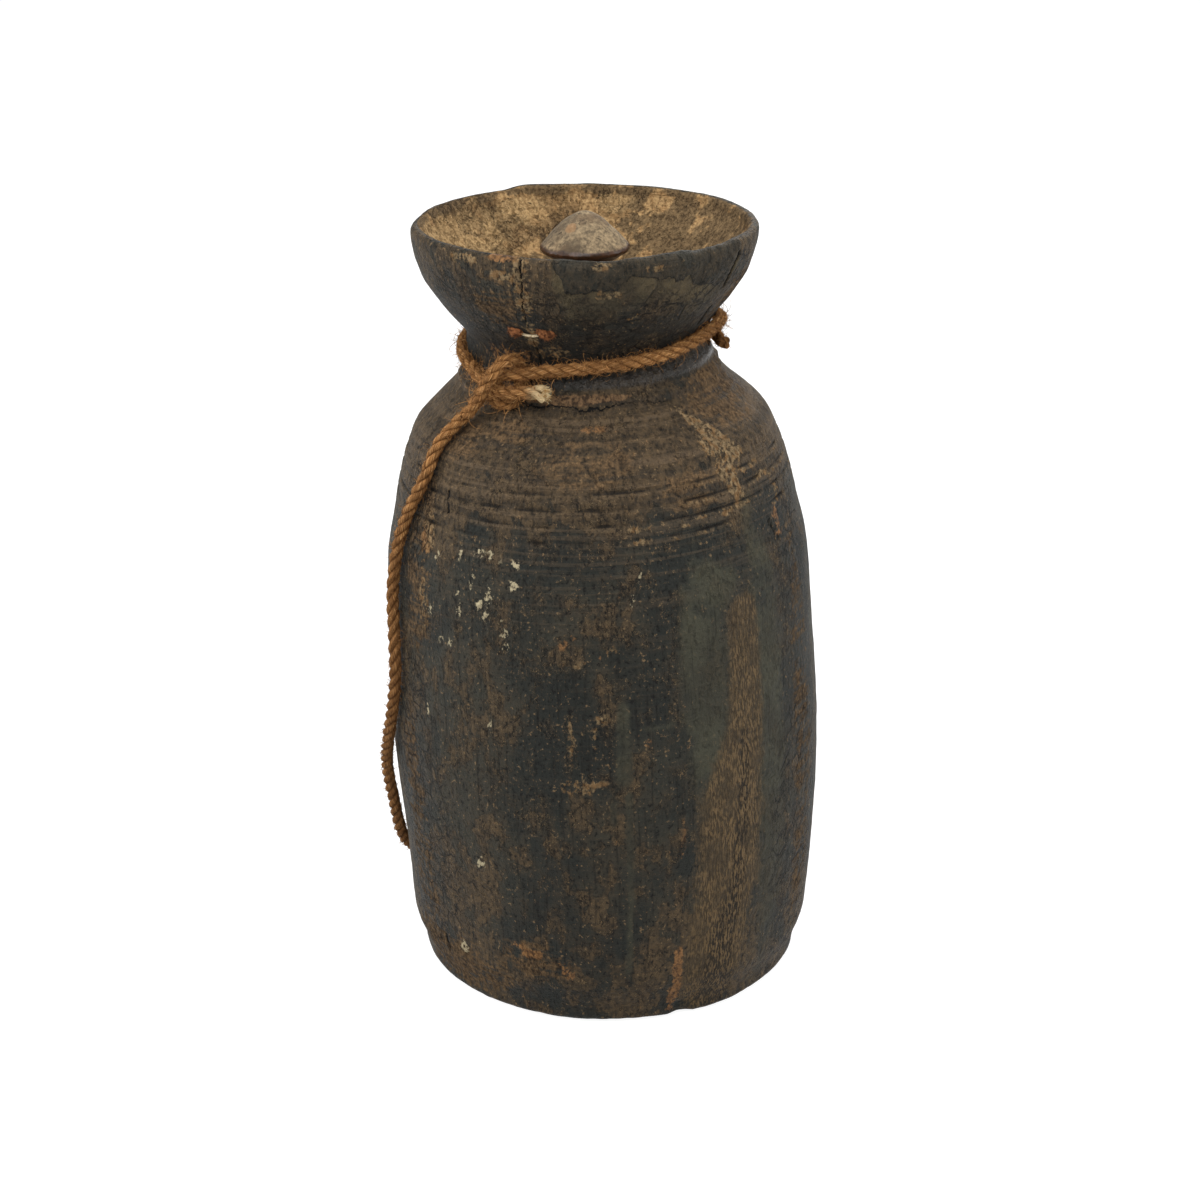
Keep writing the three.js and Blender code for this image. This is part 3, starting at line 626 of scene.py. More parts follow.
def blend(share, first, second):
    """One tone into another by a share; each is a screen tone or a socket."""
    return fed("ShaderNodeMix", {0: share, 6: paint(first), 7: paint(second)}, data_type="RGBA").outputs[2]


def times(product, *factors):
    for factor in factors:
        product = math_node("MULTIPLY", product, factor)
    return product


def plus(total, value, share):
    return math_node("MULTIPLY_ADD", value, share, total)


def minus(value, other):
    return math_node("SUBTRACT", value, other)


def away_from(value, middle):
    return math_node("ABSOLUTE", minus(value, middle))


def coats(colour, *layers):
    """Tones laid over a colour in turn, each as thick as its shares multiplied together."""
    for tone, *shares in layers:
        colour = blend(times(*shares), colour, tone)
    return colour


def value_of(tree, name):
    return add_node(tree, "ShaderNodeAttribute", attribute_name=name).outputs["Fac"]


def upright_place(tree):
    return add_node(tree, "ShaderNodeAttribute", attribute_name="upright").outputs["Vector"]


def vector_math(operation, inputs, output=0):
    return fed("ShaderNodeVectorMath", inputs, operation=operation).outputs[output]


def stretched_noise(place, stretch, detail, roughness=0.6):
    fitted = fed("ShaderNodeMapping", {"Vector": place, "Scale": stretch}).outputs[0]
    pattern = {"Vector": fitted, "Scale": 1.0, "Detail": detail, "Roughness": roughness}
    return fed("ShaderNodeTexNoise", pattern).outputs[0]


def remap(value, low, high, out_low=0.0, out_high=1.0, shape="SMOOTHSTEP"):
    limits = {"Value": value, "From Min": low, "From Max": high, "To Min": out_low, "To Max": out_high}
    return fed("ShaderNodeMapRange", limits, interpolation_type=shape).outputs[0]


def value_group(name, kind, inputs, outputs):
    """An empty shader group with named inputs of one kind, and values put out; and its two ends."""
    group = bpy.data.node_groups.new(name, "ShaderNodeTree")
    for label in inputs:
        group.interface.new_socket(label, in_out="INPUT", socket_type=kind)
    for label in outputs:
        group.interface.new_socket(label, in_out="OUTPUT", socket_type="NodeSocketFloat")
    return group, group.nodes.new("NodeGroupInput").outputs, group.nodes.new("NodeGroupOutput").inputs


# The texture of old wood that the pot and the stopper share: patches, mottle, grain, pits and flecks
WOOD_NOISE = {
    "Patch": ((24, 24, 18), 6, 0.62), "Mottle": ((95, 95, 75), 4, 0.6), "Grain": ((620, 620, 30), 4, 0.6),
    "Turning": ((11, 11, 380), 5, 0.66), "Pits": ((1500, 1500, 330), 3, 0.6),
    "Fleck": ((620, 620, 520), 4, 0.66), "Speck": ((380, 380, 330), 4, 0.62),
}
old_wood, given, gives = value_group(
    "old_wood", "NodeSocketVector", ["Place"], [*WOOD_NOISE, "Crumb", "Craze", "Curl", "Hairline"]
)
wood_place = given["Place"]
textures = {label: stretched_noise(wood_place, *pattern) for label, pattern in WOOD_NOISE.items()}


def thin_lines(stretch, detail, width):
    """Thin lines where a noise passes through its middle, kept only where the mottle is high."""
    near = away_from(stretched_noise(wood_place, stretch, detail), 0.5)
    return times(remap(near, 0.0, width, 1.0, 0.0), remap(textures["Mottle"], 0.5, 0.6))


fine_crumb = math_node("ADD", textures["Speck"], textures["Fleck"])
textures["Crumb"] = plus(times(fine_crumb, 0.3), textures["Mottle"], 0.4)
textures["Curl"] = thin_lines((300, 300, 260), 3, 0.016)
textures["Hairline"] = thin_lines((170, 170, 60), 5, 0.013)
enlarged = vector_math("SCALE", {0: wood_place, "Scale": 150})
bent = vector_math("ADD", {0: enlarged, 1: times(textures["Speck"], 1.8)})
cells = fed("ShaderNodeTexVoronoi", {"Vector": bent, "Scale": 1.0}, feature="DISTANCE_TO_EDGE")
textures["Craze"] = remap(cells.outputs["Distance"], 0.01, 0.06, 1.0, 0.0, "LINEAR")
for label, texture in textures.items():
    old_wood.links.new(texture, gives[label])

# A soft mark with its edge broken up by a texture, and nothing where there is no mark
ragged, given, gives = value_group(
    "ragged_mark", "NodeSocketFloat", ["Mark", "Texture", "Break", "Soft"], ["Mark"]
)
broken = times(minus(given["Texture"], 0.5), given["Break"])
edge = math_node("ADD", given["Mark"], broken)
there = remap(given["Mark"], 0.03, 0.3, shape="LINEAR")
edge_low = minus(0.5, given["Soft"])
edge_high = math_node("ADD", 0.5, given["Soft"])
ragged.links.new(times(remap(edge, edge_low, edge_high), there), gives["Mark"])


def ragged_mark(name, texture, amount, soft):
    inputs = {"Mark": value_of(texture.id_data, name), "Texture": texture, "Break": amount, "Soft": soft}
    return fed("ShaderNodeGroup", inputs, node_tree=ragged).outputs["Mark"]


def wood_textures(tree):
    return fed("ShaderNodeGroup", {"Place": upright_place(tree)}, node_tree=old_wood).outputs


def shaded(inputs, height=None, depth=0, strength=1.0):
    """Ends a finish with its shader, and with a relief so many millimetres deep if it has a height."""
    if height is not None:
        bump = {"Strength": strength, "Distance": depth * MM, "Height": height}
        inputs["Normal"] = fed("ShaderNodeBump", bump).outputs[0]
    shader = fed("ShaderNodeBsdfPrincipled", inputs)
    fed("ShaderNodeOutputMaterial", {"Surface": shader.outputs[0]})


pot_wood, tree = new_finish("smoked_pot_wood")
wood = wood_textures(tree)
fleck = remap(wood["Fleck"], 0.38, 0.62)

# Smoke-black crust, flaked off to brown where hands and years have worn it, and painted shade on the neck
# under the bowl
crust_tone = blend(remap(wood["Patch"], 0.42, 0.6), (34, 36, 33), (50, 49, 42))
bare_tone = blend(remap(wood["Speck"], 0.4, 0.62), (62, 50, 36), (91, 73, 51))
bare = plus(plus(value_of(tree, "warm"), wood["Mottle"], 1.6), wood["Patch"], 1.4)
bare_flake = remap(bare, 1.86, 1.92)
# Painted shadow: a thin dark line along the edge of each flake, which also dips the relief there
painted_flake_edge_shadow = remap(away_from(bare, 1.85), 0.0, 0.05, 1.0, 0.0)
painted_flake_edge_shadow = times(painted_flake_edge_shadow, remap(wood["Speck"], 0.44, 0.54))
grain = remap(wood["Grain"], 0.54, 0.66)
turning = remap(wood["Turning"], 0.48, 0.62)
dark_turning = remap(wood["Turning"], 0.34, 0.46, 1.0, 0.0)
scored = value_of(tree, "scored")
pale_flecks = remap(wood["Fleck"], 0.6, 0.69)
rusty_specks = times(remap(wood["Speck"], 0.6, 0.68), pale_flecks)
holes = remap(wood["Fleck"], 0.34, 0.42, 1.0, 0.0)
colour = coats(
    crust_tone, (bare_tone, remap(bare, 1.5, 2.3), 0.55), (bare_tone, bare_flake, 0.45),
    ((20, 19, 17), painted_flake_edge_shadow, 0.6), ((23, 22, 20), grain, 0.55), ((104, 87, 68), turning, scored, 0.42),
    # Next line: dark turning marks, then painted shade on the neck under the bowl
    ((44, 40, 36), dark_turning, scored, 0.45), ((31, 28, 25), value_of(tree, "sooty")),
    ((130, 106, 76), pale_flecks, 0.7), ((16, 15, 14), holes, remap(scored, 0.3, 1.0, 0.85, 0.35)),
    ((126, 107, 79), wood["Curl"], 0.7), ((126, 86, 54), rusty_specks, 0.8),
    ((14, 13, 12), wood["Hairline"], 0.85),
)

# Where a layer has flaked off under the rim, and the darker layer that is left above it, with painted
# shadow along its broken edge
edge_jag = plus(value_of(tree, "above_crust_edge"), wood["Speck"], 5.0)
edge_jag = plus(edge_jag, wood["Mottle"], 9.0)
from_edge = minus(edge_jag, 7.0)
has_crust = value_of(tree, "flaked")
flaked_tone = blend(remap(wood["Mottle"], 0.42, 0.6), (90, 79, 58), (64, 57, 44))
under_edge = times(has_crust, remap(from_edge, -0.2, 0.2, 1.0, 0.0))
left_crust = times(has_crust, remap(from_edge, -0.2, 0.2))
# Painted shadow: a near-black line along the crust's broken edge
painted_crust_edge_shadow = remap(math_node("ABSOLUTE", from_edge), 0.05, 0.45, 1.0, 0.0)
colour = coats(
    colour, (flaked_tone, under_edge, 0.72), ((42, 42, 37), left_crust, 0.6),
    ((16, 15, 13), times(has_crust, painted_crust_edge_shadow), 0.85),
)

# Wax, the bare strip and its pits, scrapes, rust, dust and cream flecks
streaks = plus(wood["Crumb"], minus(wood["Turning"], 0.5), 0.6)
marks = {"raw_wood": ragged_mark("raw_wood", streaks, 4.0, 0.35)}
for name, texture, amount, soft in [
    ("waxed", "Mottle", 2.6, 0.45), ("bare_band", "Crumb", 2.0, 0.3), ("pitted", "Crumb", 2.2, 0.35),
    ("rust_mark", "Crumb", 8.0, 0.25), ("tan_dust", "Crumb", 7.0, 0.25),
    ("cream_fleck", "Fleck", 6.0, 0.14), ("groove", "Fleck", 1.6, 0.3), ("crazed", "Patch", 3.0, 0.3),
    ("polished", "Crumb", 4.0, 0.3), ("raw_lip", "Crumb", 3.6, 0.3), ("pale", "Mottle", 4.0, 0.15),
    ("bare_inside", "Mottle", 4.0, 0.15), ("inside", "Speck", 1.6, 0.25), ("crack", "Fleck", 1.4, 0.2),
]:
    marks[name] = ragged_mark(name, wood[texture], amount, soft)
wax_tone = blend(remap(wood["Patch"], 0.4, 0.6), (69, 68, 55), (54, 53, 44))
wax_tone = coats(wax_tone, ((46, 45, 39), grain, 0.35))
hatch = remap(wood["Pits"], 0.44, 0.56)
band_tone = blend(hatch, (112, 91, 63), (64, 53, 38))
band_tone = coats(band_tone, ((70, 60, 46), remap(wood["Mottle"], 0.46, 0.6), 0.6))
pit_holes = times(marks["pitted"], remap(wood["Pits"], 0.46, 0.54))
tan_tone = blend(fleck, (80, 66, 50), (152, 129, 96))
tan_tone = coats(tan_tone, ((130, 98, 64), remap(wood["Speck"], 0.5, 0.6), 0.8))
craze_mark = times(wood["Craze"], marks["crazed"])
polish = marks["polished"]
colour = coats(
    colour, (wax_tone, marks["waxed"], 0.8), (band_tone, marks["bare_band"], 0.88),
    ((28, 24, 18), pit_holes, 0.7),
    (blend(fleck, (72, 57, 42), (118, 93, 66)), marks["raw_wood"], 0.6),
    (blend(fleck, (80, 56, 37), (146, 104, 64)), marks["rust_mark"], 0.7),
    (tan_tone, marks["tan_dust"], 0.75),
    (blend(fleck, (118, 104, 80), (180, 167, 136)), marks["cream_fleck"], 0.9),
    ((104, 87, 66), value_of(tree, "groove_edge"), fleck, 0.5), ((22, 20, 18), marks["groove"], 0.8),
    ((16, 15, 14), craze_mark, 0.9), ((37, 33, 29), polish, 0.6),
    (blend(fleck, (64, 48, 35), (126, 97, 68)), marks["raw_lip"], 0.75),
)

# Dust in the funnel, pale on the left and thin over old dark wood on the right and under the rim, with
# painted shadow along the edges of its flakes
speckled = remap(wood["Speck"], 0.46, 0.56)
# Painted shadow: a thin dark line along the edges of the dust's flakes
painted_dust_edge_shadow = remap(away_from(wood["Mottle"], 0.5), 0.0, 0.014, 1.0, 0.0)
painted_dust_edge_shadow = times(painted_dust_edge_shadow, speckled)
dust_holes = times(remap(wood["Fleck"], 0.63, 0.68), speckled)
dust_cracks = times(wood["Craze"], remap(wood["Patch"], 0.52, 0.58))
dust = coats(
    blend(fleck, (128, 101, 68), (170, 139, 97)),
    ((116, 91, 61), remap(wood["Mottle"], 0.5, 0.53), 0.7),
    ((144, 109, 70), remap(wood["Speck"], 0.5, 0.58), 0.4), ((56, 44, 30), painted_dust_edge_shadow, 0.7),
    (blend(fleck, (136, 110, 74), (182, 153, 110)), marks["pale"], 0.6),
    (blend(fleck, (84, 69, 50), (110, 91, 66)), marks["bare_inside"], 0.82),
    ((88, 71, 51), remap(wood["Patch"], 0.54, 0.58), 0.45), ((34, 28, 21), dust_holes, 0.9),
    ((38, 31, 23), wood["Hairline"], 0.8), ((44, 35, 25), dust_cracks, 0.45),
)
dusty = marks["inside"]
colour = blend(dusty, colour, dust)


def jagged_crack(tree, name, stretch):
    """A crack along a line, from each point's distance to the line and the crack's half width there."""
    jag = stretched_noise(upright_place(tree), stretch, 4, 0.65)
    line = minus(value_of(tree, name + "_line"), 2.0)
    half_open = value_of(tree, name + "_open")
    away = math_node("ABSOLUTE", plus(line, jag, 4.0))
    return times(remap(minus(half_open, away), -0.1, 0.1), remap(half_open, 0.02, 0.12))


collar_split = jagged_crack(tree, "collar", (420, 420, 30))
bowl_split = jagged_crack(tree, "main", (30, 30, 420))
crack_mark = larger(marks["crack"], larger(collar_split, bowl_split))
colour = blend(crack_mark, colour, (9, 8, 7))

dull = larger(marks["raw_wood"], larger(marks["tan_dust"], dusty))
height = wood["Mottle"]
for relief_of, share in [
    (wood["Fleck"], 0.9), (wood["Speck"], 0.6), (bare_flake, -0.22), (grain, -0.2), (turning, 0.16),
    (wood["Curl"], 0.25), (wood["Hairline"], -0.6), (holes, -0.3), (pit_holes, -0.4),
    (marks["tan_dust"], 0.2), (marks["cream_fleck"], 0.22), (times(dusty, dust_holes), -0.7),
    (times(dusty, painted_dust_edge_shadow), -0.5), (times(dusty, dust_cracks), -0.6),
    (times(dusty, wood["Mottle"]), 0.6), (times(dusty, wood["Speck"]), 0.3),
    (craze_mark, -0.8), (crack_mark, -0.6), (times(marks["bare_band"], hatch), -0.25),
    (left_crust, 0.5), (painted_flake_edge_shadow, -0.3),
]:
    height = plus(height, relief_of, share)
shaded({
    "Base Color": colour,
    "Roughness": plus(remap(dull, 0, 1, 0.6, 0.92), polish, -0.34),
    "Specular IOR Level": math_node("MULTIPLY_ADD", polish, 0.18, 0.14),
}, height, 1.3)
pot_mesh.materials.append(pot_wood)
pot_body = piece("pot_body_wood", pot_mesh, "pot", "pot_body")


# Stopper
# A turned plug that wedges in the throat, with a short stem and a knob like a blunt cone to lift it by.
# Hands have polished the knob's edge dark; dust from the funnel lies on its top.
SEAT_CLEARANCE = 0.3
PLUG_LENGTH = 20
PLUG_CHAMFER = 2
PLUG_DOME = 4
STEM_RADIUS = 10.5
KNOB_RADIUS = 17.8
KNOB_LEVEL = THROAT_TOP + 22
KNOB_UNDERCUT = 6
KNOB_EDGE = 2.2
KNOB_PEAK = 14.3
KNOB_FULLNESS = 0.62
plug_top = THROAT_TOP_RADIUS - SEAT_CLEARANCE
taper = (THROAT_TOP_RADIUS - THROAT_BOTTOM_RADIUS) / (THROAT_TOP - THROAT_BOTTOM)
plug_foot = plug_top - taper * PLUG_LENGTH
plug_base = THROAT_TOP - PLUG_LENGTH
dome_radius = smooth_through([
    (0, plug_top), (PLUG_DOME / 2, (plug_top + STEM_RADIUS) / 2), (PLUG_DOME, STEM_RADIUS),
])
dome_rises = np.linspace(0, PLUG_DOME, 9)
crown_rises = KNOB_PEAK * (1 - np.linspace(1, 0.04, 24) ** 1.6)
stopper_outline = np.vstack([
    [(plug_foot - PLUG_CHAMFER, plug_base), (plug_foot + taper * PLUG_CHAMFER, plug_base + PLUG_CHAMFER)],
    np.column_stack([dome_radius(dome_rises), THROAT_TOP + dome_rises]),
    np.column_stack([np.full(5, STEM_RADIUS), np.linspace(THROAT_TOP + 6, KNOB_LEVEL - KNOB_UNDERCUT, 5)]),
    arc(KNOB_RADIUS - KNOB_EDGE, KNOB_LEVEL, KNOB_EDGE, KNOB_EDGE, -70, 0, 8)[:-1],
    np.column_stack([
        KNOB_RADIUS * (1 - crown_rises / KNOB_PEAK) ** KNOB_FULLNESS, KNOB_LEVEL + crown_rises,
    ]),
])
stopper_angle, stopper_level = np.meshgrid(np.radians(np.arange(0, 360, 2)), stopper_outline[:, 1])
stopper_radius = np.repeat(stopper_outline[:, :1], stopper_angle.shape[1], axis=1)
stopper_upright = ring_points(stopper_radius, stopper_angle, stopper_level)
above_plug = ease(THROAT_TOP + PLUG_DOME, KNOB_LEVEL - 2, stopper_level)
hand_cut = 1 + above_plug * (0.02 * np.cos(2 * stopper_angle + 0.6) + 0.012 * np.cos(3 * stopper_angle + 2))
flat = stopper_upright.reshape(-1, 3)
chips = (0.5 * rough(flat, 9, 2) + 0.22 * rough(flat + 300, 2.6, 2)).reshape(stopper_level.shape)
carved_radius = np.maximum(stopper_radius * hand_cut + above_plug * chips, 0.05)
stopper_rings = ring_points(carved_radius, stopper_angle, stopper_level)
stopper_ends = ((0, 0, plug_base), (0, 0, KNOB_LEVEL + KNOB_PEAK))
stopper_mesh = turned_mesh("stopper_wood", stopper_rings, *stopper_ends)
keep_upright(stopper_mesh, stopper_upright, *stopper_ends)
knob_top = ease(KNOB_LEVEL - 1, KNOB_LEVEL + 3.2, stopper_level)
keep_values(stopper_mesh, "dusty_top", np.maximum(knob_top, 1 - ease(0, 14, stopper_level - THROAT_TOP)))
scrape = np.hypot(np.degrees(stopper_angle) - 236, 9 * (stopper_level - KNOB_LEVEL - 9)) / 14
keep_values(stopper_mesh, "rust_mark", 1 - ease(0.5, 1.5, scrape))

stopper_wood, tree = new_finish("handled_stopper_wood")
wood = wood_textures(tree)
fleck = remap(wood["Fleck"], 0.3, 0.7)
dust = coats(
    blend(fleck, (80, 68, 52), (150, 130, 100)),
    ((92, 74, 54), remap(wood["Mottle"], 0.46, 0.58), 0.8),
    ((66, 56, 43), remap(wood["Patch"], 0.5, 0.58), 0.6),
    ((40, 31, 22), remap(wood["Speck"], 0.6, 0.68), 0.8), ((44, 36, 27), wood["Hairline"], 0.8),
)
dusty = ragged_mark("dusty_top", wood["Speck"], 0.7, 0.2)
colour = blend(dusty, blend(fleck, (40, 25, 16), (72, 46, 29)), dust)
rust_mark = ragged_mark("rust_mark", wood["Speck"], 0.9, 0.15)
shaded({
    "Base Color": coats(colour, ((140, 102, 66), rust_mark, 0.5)),
    "Roughness": remap(dusty, 0, 1, 0.34, 0.88),
    "Specular IOR Level": 0.4,
}, plus(wood["Speck"], wood["Fleck"], 0.4), 0.5, 0.6)
stopper_mesh.materials.append(stopper_wood)
stopper = piece("stopper_plug_and_knob", stopper_mesh, "stopper", "stopper")


# Rope
# Three-strand jute, tied once round the neck with its frayed end held under a hitch. The rest falls
# down the left side as a slack carrying loop, passes behind the pot and is tucked in below the ring.
ROPE_DIAMETER = 5
ROPE_STAND_OFF = ROPE_DIAMETER / 2 + 0.35
ROPE_JOIN_GAP = 0.3
# The route: (angle, height above the collar, stand-off beyond resting on the skin)
RING_ROUTE = [
    (-108.2, 5.4, 3.0), (-111.8, 5.9, 4.6), (-116, 6.0, 5.8), (-120.6, 5.6, 6.2), (-124.4, 5.5, 6.2),
    (-126.2, 6, 6.2), (-127.5, 7.2, 6.3), (-128, 8.9, 6.6), (-127.5, 10.6, 6.7), (-126.2, 11.8, 6.5),
    (-124.4, 12.3, 6.3), (-119.9, 12.3, 6.1), (-115.7, 12.6, 4.4), (-110.9, 13.0, 1.8),
    (-103.9, 13.2, 0.3), (-94, 13.8, 0.1), (-84.3, 14.2, 0.1), (-66, 14.8, 0.1), (-50.2, 15.4, 0.1),
    (-33, 17.2, 0.2), (-21.5, 17.6, 0.3), (-10, 18.2, 1.6), (2, 17.8, 2.6), (15, 16.8, 2.0),
    (30, 15.8, 0.8), (60, 15, 0.4), (90, 14.5, 0.4), (120, 14, 0.4), (150, 13.4, 0.3), (168, 12.8, 0.1),
    (176, 12, 0.1), (182, 11.5, 0.1), (188.4, 10.7, 0.1), (196, 9.9, 0.1), (203, 9.2, 0.1),
    (212, 7.6, 0.1), (218.3, 5.5, 0.1),
]
HITCH_ROUTE = [
    (223.4, 2.6, 0.4), (228.5, 0.3, 0.5), (234.1, -0.4, 0.6), (238, 1.3, 0.3), (239.5, 4.1, 0.1),
    (239.6, 7.3, 0), (239.3, 11, 0.1), (239.2, 14.7, 0.7), (238.9, 17.4, 3.2), (238.2, 18.1, 6.8),
    (237, 17.4, 9.8), (235.3, 14.9, 11.9), (233.3, 12.1, 12.6), (231.1, 8.2, 12.2), (228.1, 3.9, 10.0),
    (225.3, 0, 7.6), (222.5, -3.6, 5.4),
]
LOOP_ROUTE = [
    (219.4, -7.3, 3.6), (217, -11.5, 2.2), (215.2, -17.5, 1.0), (213.7, -30.2, 0.4), (208.6, -44, 0.3),
    (205.3, -55.2, 0.2), (203.8, -66.4, 0.1), (202.7, -81, 0.1), (203.5, -101.3, 0.1), (203.3, -118, 0.1),
    (199.1, -136, 0.1), (193.7, -152, 0.9), (184.8, -170, 1.7), (178, -194, 2.3), (171.4, -217, 3.0),
    (165, -228, 3.2), (155, -237.5, 3.4), (140, -243.5, 3.6), (125, -245, 3.7), (112, -243, 3.6),
    (101, -236, 3.4), (94, -224, 3.1), (90, -205, 2.4), (87, -180, 1.6), (85, -155, 0.9), (83, -130, 0.5),
    (82, -105, 0.4), (81, -80, 0.5), (80, -58, 0.8), (78, -40, 1.0), (75, -25, 1.0), (70.5, -12, 1.3),
    (63, -2, 1.6), (53, 4.8, 1.0), (40, 8.2, 0.3), (26, 9.6, 0.2), (14, 10, 0.2), (4, 10, 1.0),
    (-3, 9.7, 2.2), (-8, 9.2, 4.4),
]


def off_skin(angle, level, stand_off):
    reach = skin_radius(np.array([level]))[0] + stand_off
    a = math.radians(angle)
    return lean(np.array([[reach * math.cos(a), reach * math.sin(a), level]]))[0]


def smooth_rope(points, steps):
    """A curve through the points that turns most where they are closest, in equal steps to a span."""
    ends = np.vstack([2 * points[0] - points[1], points, 2 * points[-1] - points[-2]])
    curve = []
    for i in range(len(points) - 1):
        p0, p1, p2, p3 = ends[i : i + 4]
        d0, d1, d2 = [np.linalg.norm(b - a) ** 0.5 for a, b in ((p0, p1), (p1, p2), (p2, p3))]
        leave = ((p1 - p0) / d0 - (p2 - p0) / (d0 + d1) + (p2 - p1) / d1) * d1
        arrive = ((p2 - p1) / d1 - (p3 - p1) / (d1 + d2) + (p3 - p2) / d2) * d1
        for t in np.arange(steps) / steps:
            curve.append(
                (2 * t**3 - 3 * t**2 + 1) * p1 + (t**3 - 2 * t**2 + t) * leave
                + (3 * t**2 - 2 * t**3) * p2 + (t**3 - t**2) * arrive
            )
    return np.array(curve + [points[-1]])


STEPS_TO_A_SPAN = 40
route = np.array([
    off_skin(angle, COLLAR + rise, ROPE_STAND_OFF + lift)
    for angle, rise, lift in RING_ROUTE + HITCH_ROUTE + LOOP_ROUTE
])
line = smooth_rope(route, STEPS_TO_A_SPAN)
knot_end = int((len(RING_ROUTE) + len(HITCH_ROUTE) - 0.5) * STEPS_TO_A_SPAN)
length_along = np.concatenate([[0], np.cumsum(np.linalg.norm(np.diff(line, axis=0), axis=1))])
knot_length = length_along[knot_end]
RING_STEP = 0.9


def stretch_of_rope(start, end):
    """Evenly spaced points of the rope between two lengths along it, and those lengths."""
    along = np.linspace(start, end, round((end - start) / RING_STEP) + 1)
    return np.column_stack([np.interp(along, length_along, line[:, k]) for k in range(3)]), along


neck_line, neck_along = stretch_of_rope(0, knot_length)
loop_line, loop_along = stretch_of_rope(knot_length + ROPE_JOIN_GAP, length_along[-1])


def sides_of(points):
    """Two directions square to the rope at each point, carried along it without twist."""
    ahead = np.gradient(points, axis=0)
    ahead /= np.linalg.norm(ahead, axis=1)[:, None]
    side = np.cross(ahead[0], (0, 0, 1))
    kept = []
    for direction in ahead:
        side = side - direction * (side @ direction)
        side = side / np.linalg.norm(side)
        kept.append(side)
    return np.array(kept), np.cross(ahead, np.array(kept))


both_side, both_across = sides_of(np.vstack([neck_line, loop_line]))


def shape_tree(name, inputs):
    """An empty geometry tree with inputs of the given kinds, and its input sockets."""
    made = bpy.data.node_groups.new(name, "GeometryNodeTree")
    made.is_modifier = True
    for label, kind in {"Geometry": "Geometry", **inputs}.items():
        made.interface.new_socket(label, in_out="INPUT", socket_type="NodeSocket" + kind)
    made.interface.new_socket("Geometry", in_out="OUTPUT", socket_type="NodeSocketGeometry")
    return made, made.nodes.new("NodeGroupInput").outputs


def shape_done(geometry, finish):
    """Ends a geometry tree: copies made real, the finish set on them, and the result put out."""
    real = fed("GeometryNodeRealizeInstances", {"Geometry": geometry}).outputs[0]
    finished = fed("GeometryNodeSetMaterial", {"Geometry": real, "Material": finish}).outputs[0]
    fed("NodeGroupOutput", {"Geometry": finished})


def named(tree, label, kind="FLOAT"):
    made = add_node(tree, "GeometryNodeInputNamedAttribute", {"Name": label}, data_type=kind)
    return made.outputs["Attribute"]


def store(geometry, label, value, kind="FLOAT"):
    inputs = {"Geometry": geometry, "Name": label, "Value": value}
    return fed("GeometryNodeStoreNamedAttribute", inputs, data_type=kind, domain="POINT").outputs[0]


# A laid rope: three strands wound round the line that the rope follows
LAY_LENGTH = 17
STRAND_RADIUS = 1.4
STRAND_OFFSET = 1.28
STRAND_SIDES = 10
STRANDS = 3
laid_rope, given = shape_tree("laid_rope", {
    "Lay Length": "Float", "Strand Radius": "Float", "Strand Offset": "Float", "Strand Sides": "Int",
    "Finish": "Material",
})
strand_line = fed("GeometryNodeMeshToCurve", {"Mesh": given["Geometry"]}).outputs[0]
turn = math_node("DIVIDE", named(laid_rope, "along"), given["Lay Length"])
swell = math_node("MULTIPLY", given["Strand Offset"], named(laid_rope, "splay"))
ring_size = {"Resolution": given["Strand Sides"], "Radius": given["Strand Radius"]}
ring = fed("GeometryNodeCurvePrimitiveCircle", ring_size)
ring_share = add_node(laid_rope, "GeometryNodeSplineParameter")
around = add_node(laid_rope, "GeometryNodeCaptureAttribute")
around.capture_items.new("FLOAT", "Around")
laid_rope.links.new(ring.outputs[0], around.inputs["Geometry"])
laid_rope.links.new(ring_share.outputs["Factor"], around.inputs["Around"])
strands = add_node(laid_rope, "GeometryNodeJoinGeometry")
for i in range(STRANDS):
    phase = times(math_node("ADD", turn, i / STRANDS), 2 * math.pi)
    parts = {}
    for k, (direction, wave) in enumerate((("side", "COSINE"), ("across", "SINE"))):
        reach = {0: named(laid_rope, direction, "FLOAT_VECTOR"), "Scale": math_node(wave, phase)}
        parts[k] = vector_math("SCALE", reach)
    outward = vector_math("ADD", parts)
    offset = vector_math("SCALE", {0: outward, "Scale": swell})
    wound = fed("GeometryNodeSetPosition", {"Geometry": strand_line, "Offset": offset})
    strand = store(wound.outputs[0], "strand", i / STRANDS)
    strand = store(strand, "outward", outward, "FLOAT_VECTOR")
    section = {"Curve": strand, "Profile Curve": around.outputs["Geometry"], "Fill Caps": True}
    tube = fed("GeometryNodeCurveToMesh", section)
    laid_rope.links.new(tube.outputs[0], strands.inputs[0])
rope = store(strands.outputs[0], "around", around.outputs["Around"])
# How far each point faces out from its strand's line, which the jute finish turns into painted highlight
# and painted shade
normal = add_node(laid_rope, "GeometryNodeInputNormal").outputs[0]
facing = {0: normal, 1: named(laid_rope, "outward", "FLOAT_VECTOR")}
rope = store(rope, "crown", vector_math("DOT_PRODUCT", facing, "Value"))
rope = fed("GeometryNodeSetShadeSmooth", {"Geometry": rope}).outputs[0]
shape_done(rope, given["Finish"])


def made_by(source, group, inputs):
    """The plain mesh that a tree makes from an object, with the tree taken off again."""
    modifier = source.modifiers.new(group.name, "NODES")
    modifier.node_group = group
    for label, value in inputs.items():
        modifier[group.interface.items_tree[label].identifier] = value
    bpy.context.view_layer.update()
    evaluated = source.evaluated_get(bpy.context.evaluated_depsgraph_get())
    result = bpy.data.meshes.new_from_object(evaluated)
    source.modifiers.remove(modifier)
    return result
